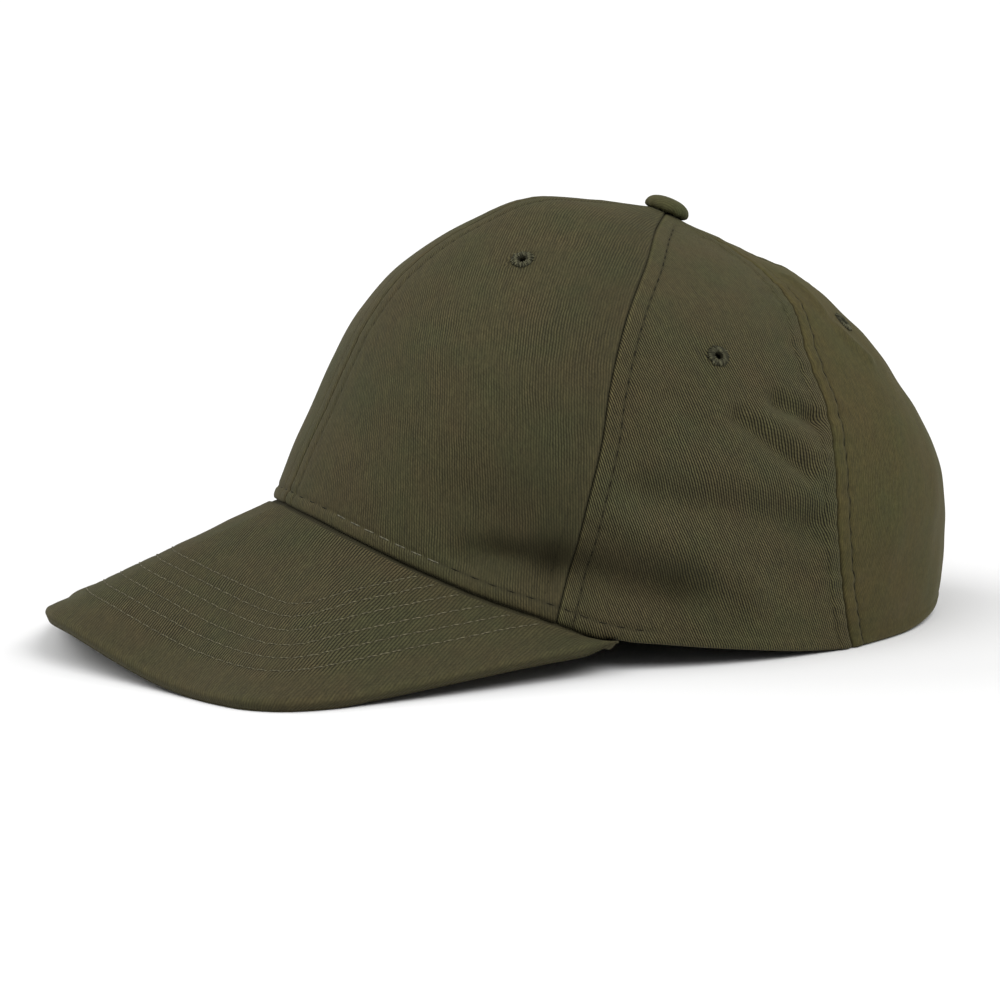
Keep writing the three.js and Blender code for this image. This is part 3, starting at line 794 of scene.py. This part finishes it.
    def cut_hole(self):
        """Rounds the grid's edge round the eyelet, and says which quads are cut away."""
        seat, out = smooth_crown(*self.eyelet), crown_normal(*self.eyelet)
        off = np.linalg.norm(self.base - seat, axis=-1)
        hole = (off[:-1, :-1] + off[1:, :-1] + off[:-1, 1:] + off[1:, 1:]) / 4 < EYELET_CUT
        touched = np.zeros_like(off, int)
        for r, c in ((0, 0), (0, 1), (1, 0), (1, 1)):
            touched[r:ROWS - 1 + r, c:COLUMNS - 1 + c] += hole
        edge = (touched > 0) & (touched < 4)
        for grid in (self.outside, self.inside):
            away = grid[edge] - seat
            height = (away @ out)[:, None] * out
            grid[edge] = seat + unit(away - height) * EYELET_EDGE + height
        return hole

    def build(self):
        points, faces = wall(self.outside, self.inside, missing=self.cut_hole())
        middle = self.up[:, COLUMNS // 2][:, None] + 0 * self.up
        uv = np.stack([self.across - self.width / 2, middle], -1)
        piece = make_piece(self.name + "_cloth", points, faces, self.material, both(uv, uv))
        for label, values in self.marks.items():
            mark(piece, label, both(values, 0 * values))
        drop_loose_points(piece)
        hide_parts(self.name)

    def line(self, distance, from_left, first, last):
        """Points and normals of a row of stitches at this distance from one edge."""
        points, normals = [], []
        for r in range(ROWS):
            if not first <= self.at[r, 0] <= last or self.width[r, 0] < 2 * distance + 2:
                continue
            d = distance if from_left else self.width[r, 0] - distance
            points.append(place_along(self.outside[r], self.across[r], d))
            normals.append(place_along(self.normal[r], self.across[r], d))
        return np.array(points), np.array(normals)

    def rim_line(self, height, first, last):
        """Points and normals of a row of stitches at this height over the rim."""
        columns = [c for c in range(COLUMNS) if first <= abs(self.turn[0, c]) <= last]
        return [np.array([place_along(grid[:, c], self.up[:, c], height) for c in columns])
                for grid in (self.outside, self.normal)]

    def stitches(self, seed, rim_seed):
        """Its rows of stitches: those beside the seams and the sunk ones at the rim, and then
        those at the rim that lie on top of the cloth, which get a lit copy of the rim thread as a
        painted highlight."""
        sunk, lit_rows = [], []
        for j, from_left in enumerate((True, False)):
            points, normals = self.line(TOPSTITCH, from_left, *CROWN_ROW)
            sunk.append(stitch_row(points, normals, seed + j, ROW_DEEP - ROW_RISE * self.rows[j]))
        for first, last, rows, sink in ((0, LIGHT_ROW_START, sunk, DARK_ROW_SINK),
                                        (LIGHT_ROW_START, LIGHT_ROW_END, lit_rows, LIGHT_ROW_SINK),
                                        (LIGHT_ROW_END, RIM_STITCH_END, sunk, DARK_ROW_SINK)):
            points, normals = self.rim_line(RIM_STITCH, first, last)
            if len(points) > 3:
                rows.append(stitch_row(points, normals, rim_seed, sink, length=RIM_STITCH_LENGTH,
                                       radius=RIM_THREAD_RADIUS))
        return sunk, lit_rows


def drop_loose_points(piece):
    """Takes away points that no face uses, such as those inside a hole."""
    mesh = bmesh.new()
    mesh.from_mesh(piece.data)
    loose = [v for v in mesh.verts if not v.link_faces]
    bmesh.ops.delete(mesh, geom=loose, context="VERTS")
    mesh.to_mesh(piece.data)
    mesh.free()


def build_crown():
    """The six panels and their stitches."""
    kinds = [
        (("centre_front", "front_to_side"), (0, 0), FRONT_CLOTH, FRONT_TWILL),
        (("front_to_side", "side_to_back"), (1, 0), SIDE_CLOTH, SIDE_TWILL),
        (("side_to_back", "centre_back"), (0, 0), SIDE_CLOTH, BACK_TWILL),
    ]
    panels = {}
    for (seams, steps, cloth, material), (kind, turn, at) in zip(kinds, EYELETS):
        for hand in ("left", "right"):
            panels[kind, hand] = Panel(f"{kind}_panel_{hand}", hand == "right", seams, steps, cloth,
                                       (turn, at), material)
    sunk, lit_rows = [], []
    for i, panel in enumerate(panels.values()):
        panel_sunk, panel_lit_rows = panel.stitches(CROWN_SEED + 2 * i, RIM_SEED + i)
        sunk += panel_sunk
        lit_rows += panel_lit_rows
    for panel in panels.values():
        panel.build()
    # the rim row's sunk stitches get the dark seam thread, and those on top a lit copy of it as painted
    # highlight
    make_piece("crown_topstitching", *joined(sunk), SEAM_THREAD)
    make_piece("peak_seam_stitching", *joined(lit_rows), LIT_RIM_THREAD)
    return panels


# Peak

PEAK_COLUMNS = 221
PEAK_ROWS = 121
PEAK_WAVES = ((0.16, 34, 21), (0.06, 11, 22))
QUILT_LIFT = 0.05        # how far the top cover stands up among the rows of stitches
COVER_GAP = 0.12         # between the two covers
LEAST_COVER = 0.35       # how thin the under cover gets, at the edge
EDGE_PIECES = 24         # into which the edge is divided between two rows of its table
EDGE_STRIDE = 6          # every sixth point of the edge is enough to measure from


def edge_curve():
    """The peak's whole outer edge as an even, smooth line from the right corner to the left."""
    left = np.stack([PEAK_EDGE[k] for k in "xyz"], -1)
    points = np.concatenate([(left * np.array([-1, 1, 1]))[:0:-1], left])
    gap = np.sqrt(np.linalg.norm(np.diff(points, axis=0), axis=-1))
    final = len(points) - 2
    fine = []
    for i in range(final + 1):
        p = [points[max(0, min(final + 1, i + k))] for k in (-1, 0, 1, 2)]
        if i == 0:
            p[0] = 2 * p[1] - p[2]
        if i == final:
            p[3] = 2 * p[2] - p[1]
        before, here, after = gap[max(0, i - 1)], gap[i], gap[min(final, i + 1)]
        t1 = ((p[1] - p[0]) / before - (p[2] - p[0]) / (before + here) + (p[2] - p[1]) / here) * here
        t2 = ((p[2] - p[1]) / here - (p[3] - p[1]) / (here + after) + (p[3] - p[2]) / after) * here
        t = np.linspace(0, 1, EDGE_PIECES, endpoint=i == final)[:, None]
        fine.append(hermite(t, p[1], p[2], t1, t2))
    fine = np.concatenate(fine)
    fine[:, 2] = np.maximum(0, fine[:, 2])
    return fine, arc_length(fine, 0)


EDGE_POINTS, EDGE_REACH = edge_curve()


def outwards_at_rim(turn):
    """Level direction straight out of the crown at its rim."""
    outwards = crown_normal(turn, 0 * turn)
    outwards[..., 2] = 0
    return unit(outwards)


def peak_bottom(side, out):
    """The peak's underside: straight lines from under the rim to the outer edge."""
    side, out = np.broadcast_arrays(np.asarray(side, float), np.asarray(out, float))
    turn = PEAK_TURN * side
    root = smooth_crown(turn, 0 * turn) - outwards_at_rim(turn) * PEAK_TUCK
    root[..., 2] -= PEAK_DROP + PEAK_CORNER_DROP * side ** 4
    edge = place_along(EDGE_POINTS, EDGE_REACH, (side + 1) / 2 * EDGE_REACH[-1])
    point = root + (edge - root) * out[..., None]
    point[..., 2] += PEAK_BULGE * (1 - side ** 2) * 27 / 4 * out * (1 - out) ** 2
    return point


def peak_normal(side, out):
    return surface_normal(peak_bottom, np.clip(side, -0.99, 0.99), out, 0.005, -0.005)


def edge_distance(points):
    """Distance of each point from the peak's outer edge."""
    best = np.full(points.shape[:-1], np.inf)
    corners = np.concatenate([EDGE_POINTS[:-1:EDGE_STRIDE], EDGE_POINTS[-1:]])
    for start, end in zip(corners[:-1], corners[1:]):
        best = np.minimum(best, near(points, start, end))
    return best


def peak_allowance(side):
    """The peak's seam allowance, which stands up between the crown and the sweatband: the face
    towards the crown and the face towards the head, from its top down to the peak."""
    turn = PEAK_TURN * side
    rim, outwards = smooth_crown(turn, 0 * turn), outwards_at_rim(turn)
    return [np.array([rim - outwards * (FRONT_CLOTH + depth) + np.array([0, 0, rise])
                      for rise in (PEAK_ALLOWANCE, PEAK_ALLOWANCE / 2, -0.3)])
            for depth in (0.25, 0.5)]


class EvenLines:
    """Distance from the peak's edge, with the sharp turns of its inner lines rounded off, as a
    sewing machine rounds them."""

    SIDES = 361
    OUTS = 121
    ROUNDING = 0.035         # share of the peak's half width over which a turn is rounded

    def __init__(self):
        side, out = np.meshgrid(np.linspace(-1, 1, self.SIDES), np.linspace(0, 1, self.OUTS))
        sharp = edge_distance(peak_bottom(side, out))
        spread = self.ROUNDING * (self.SIDES - 1) / 2
        reach = int(3 * spread)
        first = 2 * sharp[:, :1] - sharp[:, reach:0:-1]
        last = 2 * sharp[:, -1:] - sharp[:, -2:-reach - 2:-1]
        padded = np.concatenate([first, sharp, last], 1)
        weights = bell(np.arange(-reach, reach + 1), spread * math.sqrt(2))
        weights = weights / weights.sum()
        smooth = sum(w * padded[:, k:k + self.SIDES] for k, w in enumerate(weights))
        self.grid = sharp + (smooth - sharp) * step_up(sharp, 4, 16)

    def at(self, side, out):
        x = (np.clip(side, -1, 1) + 1) / 2 * (self.SIDES - 1)
        y = np.clip(out, 0, 1) * (self.OUTS - 1)
        i = np.minimum(x.astype(int), self.SIDES - 2)
        j = np.minimum(y.astype(int), self.OUTS - 2)
        u, v = x - i, y - j
        g = self.grid
        return ((g[j, i] * (1 - u) + g[j, i + 1] * u) * (1 - v)
                + (g[j + 1, i] * (1 - u) + g[j + 1, i + 1] * u) * v)


EVEN_LINES = EvenLines()


def peak_uv(surface, bottom):
    """The cloth's own place at each point: flat over the peak, and drawn on round its edge. With
    it comes the direction outwards in that place."""
    along_edge = np.gradient(bottom[-1, :, :2], axis=0)
    outward = unit(np.stack([along_edge[:, 1], -along_edge[:, 0]], -1))
    outward = outward * np.sign(np.sum(outward * (bottom[-1] - bottom[0])[:, :2], -1, keepdims=True))
    outward = (outward * np.array([1, -1]))[None]
    drawn = arc_length(surface, 0) - arc_length(bottom, 0)
    return np.stack([bottom[..., 0], -bottom[..., 1]], -1) + outward * drawn[..., None], outward


def peak_heights(bottom, side, distance, lines, grooves, ditch_and_painted_shade):
    """Height over the peak's underside of its top, of the line between its covers, and of the
    under cover's face."""
    quilted = plateau(lines, PEAK_STITCH_ROWS[0] - 4, PEAK_STITCH_ROWS[0], PEAK_STITCH_ROWS[-1],
                      PEAK_STITCH_ROWS[-1] + 5)
    lifted = 0.8 * PEAK_THICK * step_up(np.abs(side), 0.93, 1.0)
    roll = (PEAK_THICK - lifted) / 2
    round_off = rolled_in(distance, roll)
    hem = 0.15 * plateau(distance, 0.6, 2.0, 4.5, 8.0)
    top = (PEAK_THICK - 0.95 * roll * round_off - PEAK_GROOVE * grooves + QUILT_LIFT * quilted + hem
           + cloth_waves(bottom, PEAK_WAVES) - HEM_DITCH * ditch_and_painted_shade)
    under = lifted + 0.15 * roll * round_off + PEAK_GROOVE * grooves
    split = under + LEAST_COVER + (PEAK_THICK / 2 - LEAST_COVER - under) * step_up(distance, 0.2, 3.5)
    return top, np.minimum(split, top - 0.4), under


def peak_marks(side, distance, grooves, ditch_and_painted_shade):
    """Where the peak's cloth is worn light and rubbed flat, and where it gets painted shade: at its
    edge, in the grooves of its stitches and in the ditch at its root. It is also darker towards its
    outer edge and towards its sides.
    """
    beside = np.abs(side)
    rubbed = np.maximum(0.8 * (1 - step_up(distance, 9, 15)), 0.72 * step_up(beside, 0.35, 0.72))
    # painted shade at the edge, in the stitch grooves and in the root's ditch; darker towards the outer
    # edge and the sides
    dark = (0.3 * bell(distance, 0.25) + 0.24 * grooves + ditch_and_painted_shade
            + 0.1 * (1 - step_up(distance, 6, 14)) + 0.08 * step_up(beside, 0.4, 0.8))
    return dict(wear_and_painted_light=worn_line(distance, 0.35, 0.8, 1.0), rubbed=rubbed, ditch_and_painted_shade=np.clip(dark, 0, 1))


def peak_grid():
    """Side and out for each point of the peak's grid. Its rows lie closer together at the edge,
    and its columns in the middle."""
    side, rows = np.linspace(-1, 1, PEAK_COLUMNS), np.linspace(0, 1, PEAK_ROWS)
    return np.meshgrid(side - 0.06 * np.sin(math.pi * side), 1 - rows[::-1] ** 1.4)


def build_peak():
    """The two covers of the peak and the stitches through them."""
    side, out = peak_grid()
    bottom, normal = peak_bottom(side, out), peak_normal(side, out)
    distance, lines = edge_distance(bottom), EVEN_LINES.at(side, out)
    grooves = sum(bell(lines - d, 0.8) for d in PEAK_STITCH_ROWS)
    # the ditch at the peak's root: it lowers the top cover, and its mask also paints shade there
    ditch_and_painted_shade = 1 - step_up(arc_length(bottom, 0), HEM_DITCH_END, HEM_DITCH_END + HEM_DITCH_RISE)
    ditch_and_painted_shade = ditch_and_painted_shade * (1 - 0.8 * side ** 4)
    top, split, under = peak_heights(bottom, side, distance, lines, grooves, ditch_and_painted_shade)
    marks = peak_marks(side, distance, grooves, ditch_and_painted_shade)

    def surface(height, lowest):
        points = bottom + normal * height[..., None]
        points[..., 2] = np.maximum(points[..., 2], lowest)
        return points

    for name, high, low, material in (
            ("peak_top_cover", top, split + COVER_GAP / 2, PEAK_TWILL),
            ("peak_under_cover", split - COVER_GAP / 2, under, UNDER_TWILL)):
        is_top = name == "peak_top_cover"
        grids = [surface(high, 0.05), surface(low, 0)]
        seen, outward = peak_uv(grids[0 if is_top else 1], bottom)
        hidden = seen + (high - low)[..., None] * outward
        uvs = [seen, hidden] if is_top else [hidden, seen]
        values = marks
        if is_top:
            allowance = peak_allowance(side[0])
            grids = [np.concatenate(pair) for pair in zip(allowance, grids)]
            uvs = [with_allowance(uv) for uv in uvs]
            values = {label: with_allowance(v) for label, v in marks.items()}
        points, faces = wall(*grids)
        piece = make_piece(name + "_cloth", points, faces, material, both(*uvs), slot="peak_cloth")
        for label, v in values.items():
            mark(piece, label, both(v, v))
        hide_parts(name)
    for where, rows in zip(("top", "under"), peak_stitches()):
        make_piece(f"peak_{where}_stitching", *joined(rows), PEAK_THREAD, slot="peak_cloth")


def with_allowance(values):
    """Values of the peak's grid with the same again for the rows of its seam allowance."""
    return np.concatenate([values[:1].repeat(3, 0), values])


def even_line(distance, side, out, wanted):
    """Where a line at this distance from the edge crosses each column of a grid."""
    line = []
    for c in range(len(side)):
        column = distance[:, c]
        past = np.nonzero(column >= wanted)[0]
        if not len(past) or past[0] == 0:
            continue
        i = past[0]
        share = (wanted - column[i - 1]) / (column[i] - column[i - 1])
        line.append((side[c], out[i - 1] + (out[i] - out[i - 1]) * share))
    return np.array(line).T


def peak_stitches():
    """Rows of stitches at even distances from the peak's edge, on its top and its underside."""
    side, out = np.linspace(-0.995, 0.995, 700), np.linspace(1, 0, 160)
    distance = EVEN_LINES.at(*np.meshgrid(side, out))
    top, under = [], []
    for k, wanted in enumerate(PEAK_STITCH_ROWS):
        line_side, line_out = even_line(distance, side, out, wanted)
        from_root = peak_bottom(line_side, line_out) - peak_bottom(line_side, 0 * line_out)
        clear = np.linalg.norm(from_root, axis=-1) > HEM_DITCH_END + HEM_DITCH_RISE + 0.8
        line_side, line_out = line_side[clear], line_out[clear]
        base, normal = peak_bottom(line_side, line_out), peak_normal(line_side, line_out)
        height = PEAK_THICK - PEAK_GROOVE + QUILT_LIFT + cloth_waves(base, PEAK_WAVES)
        top.append(stitch_row(base + normal * height[:, None], normal, PEAK_TOP_SEED + k,
                              **PEAK_STITCH))
        under.append(stitch_row(base + normal * PEAK_GROOVE, -normal, PEAK_UNDER_SEED + k,
                                **PEAK_STITCH))
    return top, under


# Eyelets, button, sweatband

EYELET_THREADS = 44
EYELET_HOLE = 1.1
EYELET_OUTER = 3.55
EYELET_SEAT = 0.05       # how far an eyelet stands over the cloth
EYELET_THREAD_RADIUS = 0.185
EYELET_RING = table("radius height", [
    (1.1, -2.4), (1.1, -0.6), (1.2, 0.05), (1.6, 0.28), (2.3, 0.34), (3.0, 0.24), (3.35, 0.0),
    (3.0, -0.1), (1.75, -0.15), (1.6, -2.4),
])
# how much painted shade darkens the ring's body, seen between its stitches
EYELET_RING_SHADE = 0.8


def spin(outline, around):
    """Points and faces of a closed outline turned about its axis, in the axis's own frame."""
    angle = all_round(around)
    radius, height = outline["radius"][:, None], outline["height"][:, None]
    points = np.stack([radius * np.cos(angle), radius * np.sin(angle), height + 0 * angle], -1)
    ids = np.arange(radius.size * around).reshape(-1, around)
    return points.reshape(-1, 3), round_faces(np.concatenate([ids, ids[:1]]))


def eyelet_thread(i, rng):
    """One satin stitch from the hole out over the ring, at its own slant and reach, and how dark
    it is."""
    angle = 2 * math.pi * (i + rng.uniform(-0.3, 0.3)) / EYELET_THREADS
    slant = rng.uniform(-0.16, 0.16)
    inner = EYELET_HOLE + rng.uniform(0.1, 0.35) + (0.5 if i % 3 == 1 else 0)
    outer = EYELET_OUTER + rng.uniform(-0.7, 0.3)
    t = np.linspace(0, 1, TUBE_RINGS)
    radius = inner + (outer - inner) * t
    a = angle + slant * (t - 0.4)
    height = 0.12 + rng.uniform(-0.06, 0.1) + 0.34 * np.sin(math.pi * (0.12 + 0.8 * t)) ** 0.8
    height = height - 0.3 * t ** 4
    centre = np.stack([radius * np.cos(a), radius * np.sin(a), height], -1)
    run = unit(np.gradient(centre, axis=0))
    side = unit(np.cross(run, np.array([0, 0, 1.0])))
    thick = EYELET_THREAD_RADIUS * (0.6 + 0.4 * np.sin(math.pi * t) ** 0.5)
    return tube(centre, side, np.cross(side, run), thick), rng.uniform(0, 0.55)


def build_eyelet(name, panel, seed):
    """An embroidered vent eyelet: a low ring, painted dark as shade, with satin stitches over it."""
    rng = np.random.default_rng(seed)
    parts, shades = [spin(EYELET_RING, 40)], [EYELET_RING_SHADE]
    for i in range(EYELET_THREADS):
        part, shade = eyelet_thread(i, rng)
        parts.append(part)
        shades.append(shade)
    local, faces = joined(parts)
    turn, at = panel.eyelet
    normal = crown_normal(turn, at)
    row = np.argmin(np.abs(panel.at[:, 0] - at))
    order = np.argsort(np.abs(panel.turn[row]))
    level = np.interp(abs(turn), np.abs(panel.turn[row])[order], panel.out[row][order])
    seat = smooth_crown(turn, at) + normal * (level + EYELET_SEAT)
    first = unit(np.cross(normal, np.array([0, 0, 1.0])))
    points = seat + local @ np.stack([first, np.cross(normal, first), normal])
    piece = make_piece(name + "_thread", points, faces, EYELET_THREAD, slot="eyelet_thread")
    # painted shade on the ring's body, and a random darker tone for each stitch, under the same mark
    mark(piece, "ditch_and_painted_shade", np.repeat(shades, [len(p) for p, _ in parts]))
    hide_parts(name)


BUTTON_AROUND = 160
GATHERS = (9, 13, 17)    # how many waves run round its edge where its cloth is gathered
GATHERED_OUT, GATHERED_DOWN = 0.13, 0.10
BUTTON_PROFILE = table("radius height", [
    (0.02, 4.4), (0.8, 4.38), (1.6, 4.33), (2.45, 4.24), (3.3, 4.1), (4.0, 3.92), (4.75, 3.66),
    (5.45, 3.3), (6.0, 2.9), (6.45, 2.4), (6.75, 1.85), (6.92, 1.3), (6.95, 0.75), (6.8, 0.25),
    (6.45, -0.12), (5.9, -0.32), (5.2, -0.32), (4.2, -0.1), (3.0, 0.3), (2.25, 0.5),
    (2.2, -0.5), (2.2, -2.5), (2.2, -5.0), (1.2, -5.0), (0.02, -5.0),
])


def button_surface(angle):
    """The button's radius and height all round: gathered under its edge and not quite even."""
    rng = np.random.default_rng(5)
    gathers = sum(np.cos(k * angle + rng.uniform(0, 6.28)) / 2.2 for k in GATHERS)
    across, high = BUTTON_PROFILE["radius"], BUTTON_PROFILE["height"]
    under = (step_up(-high, -2.2, 0.3) * (across > 2.9))[:, None]
    radius = across[:, None] + GATHERED_OUT * gathers * under
    height = high[:, None] - GATHERED_DOWN * gathers * under
    uneven = (high > 1)[:, None] * np.cos(2 * angle + 0.6)
    return radius, height + 0.06 * uneven * (across / BUTTON_RADIUS)[:, None] ** 2


def build_button():
    """The covered button: cloth drawn over a flat dome and gathered under its edge."""
    angle = all_round(BUTTON_AROUND)
    radius, height = button_surface(angle)
    x, y = radius * np.cos(angle), radius * np.sin(angle)
    c, s = math.cos(math.radians(BUTTON_TILT)), math.sin(math.radians(BUTTON_TILT))
    points = np.stack([x, y * c + height * s, -y * s + height * c], -1) + np.array(BUTTON_SEAT)
    ids = np.arange(radius.size).reshape(radius.shape)
    nxt = np.roll(ids, -1, axis=1)
    quads = np.stack([ids[:-1], ids[1:], nxt[1:], nxt[:-1]], -1).reshape(-1, 4)
    faces = [*map(tuple, quads), tuple(ids[0]), tuple(ids[-1][::-1])]
    run = arc_length(np.stack(list(BUTTON_PROFILE.values()), -1), 0)
    uv = np.stack([run[:, None] * np.cos(angle), run[:, None] * np.sin(angle)], -1).reshape(-1, 2)
    piece = make_piece("top_button_cloth", points.reshape(-1, 3), faces, BUTTON_TWILL, uv)
    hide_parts("top_button")


BAND_COLUMNS, BAND_ROWS = 360, 27
BAND_STITCH = 2.2        # from each edge of the sweatband to its stitches
BAND_PAD = 0.35          # how far it is padded
BAND_DIP = 0.3           # and how far its stitches draw it in
BAND_WAVES = ((0.12, 14, 31),)


def build_sweatband():
    """The band inside the rim, padded a little between its two stitched edges."""
    turn, up = np.meshgrid(np.linspace(-180, 180, BAND_COLUMNS + 1)[:-1], np.linspace(0, 1, BAND_ROWS))
    at = BAND_START + up * (BAND_HEIGHT - BAND_START)
    base, normal = smooth_crown(turn, at), crown_normal(turn, at)
    height = arc_length(base, 0)
    full = height[-1]
    edge = np.minimum(height, full - height)
    pad = BAND_PAD * step_up(edge, 0, 3) - BAND_DIP * bell(edge - BAND_STITCH, 0.6)
    depth = BAND_DEPTH + folded_in(turn, at)
    outside = base - normal * depth[..., None]
    inside = base - normal * (depth + BAND_CLOTH + pad + cloth_waves(base, BAND_WAVES))[..., None]
    uv = np.stack([arc_length(base, 1), height], -1)
    piece = make_piece("sweatband_cloth", *wall(outside, inside, round_closed=True), BAND_TWILL,
                       both(uv, uv), slot="band_cloth")
    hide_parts("sweatband")
    rows = []
    for k, level in enumerate((0 * full + BAND_STITCH, full - BAND_STITCH)):
        line, out = (np.array([place_along(grid[:, c], height[:, c], level[c])
                               for c in range(BAND_COLUMNS)]) for grid in (inside, -normal))
        rows.append(stitch_row(line, out, BAND_SEED + k))
    make_piece("sweatband_stitching", *joined(rows), SEAM_THREAD, slot="band_cloth")


# Studio, in metres

CAMERA_AZIMUTH = 68
CAMERA_ELEVATION = 10
CAMERA_DISTANCE = 1.2
CAMERA_TARGET = (0, -0.00082, 0.038)
CAMERA_LENS = 143.86
FLOOR_HALF = 60.0
WORLD_STRENGTH = 0.3
LIGHTS = [    # name, azimuth, elevation and spread in degrees, strength
    ("key", 16, 55, 50, 1.25),
    ("left_rim", -45, 30, 40, 1.05),
    ("back_rim", 170, 35, 40, 0.65),
    ("side_fill", 106, 50, 42, 1.95),
]


def look_from(thing, azimuth, elevation):
    """Turns a camera or light to look from this side, and gives the direction to it."""
    a, e = math.radians(azimuth), math.radians(elevation)
    towards = Vector((math.sin(a) * math.cos(e), -math.cos(a) * math.cos(e), math.sin(e)))
    thing.rotation_euler = (-towards).to_track_quat("-Z", "Y").to_euler()
    return towards


def add_camera():
    data = bpy.data.cameras.new("camera")
    data.lens = CAMERA_LENS
    data.sensor_width = 36
    data.clip_end = 20
    camera = new_object("camera", data)
    towards = look_from(camera, CAMERA_AZIMUTH, CAMERA_ELEVATION)
    camera.location = Vector(CAMERA_TARGET) + CAMERA_DISTANCE * towards
    bpy.context.scene.camera = camera


def add_soft_light(name, azimuth, elevation, spread, strength):
    """An even light from one side of the studio, as soft as a lamp this many degrees wide."""
    data = bpy.data.lights.new(name, "SUN")
    data.angle = math.radians(spread)
    data.energy = strength
    look_from(new_object(name, data), azimuth, elevation)


def add_floor():
    mesh = bpy.data.meshes.new("floor")
    corners = [(x * FLOOR_HALF, y * FLOOR_HALF, 0) for x, y in ((-1, -1), (1, -1), (1, 1), (-1, 1))]
    mesh.from_pydata(corners, [], [(0, 1, 2, 3)])
    mesh.materials.append(floor_material())
    floor = new_object("floor", mesh)


def add_studio():
    add_floor()
    world = bpy.data.worlds.new("studio")
    world.use_nodes = True
    background = world.node_tree.nodes["Background"]
    background.inputs["Color"].default_value = (1, 1, 1, 1)
    background.inputs["Strength"].default_value = WORLD_STRENGTH
    bpy.context.scene.world = world
    bpy.context.scene.view_settings.view_transform = "Standard"
    for light in LIGHTS:
        add_soft_light(*light)


crown = build_crown()
build_peak()
for number, (kind, _, _) in enumerate(EYELETS):
    for hand in ("left", "right"):
        build_eyelet(f"eyelet_{kind}_{hand}", crown[kind, hand],
                     EYELET_SEED + 2 * number + (hand == "left"))
build_button()
build_sweatband()
add_camera()
add_studio()
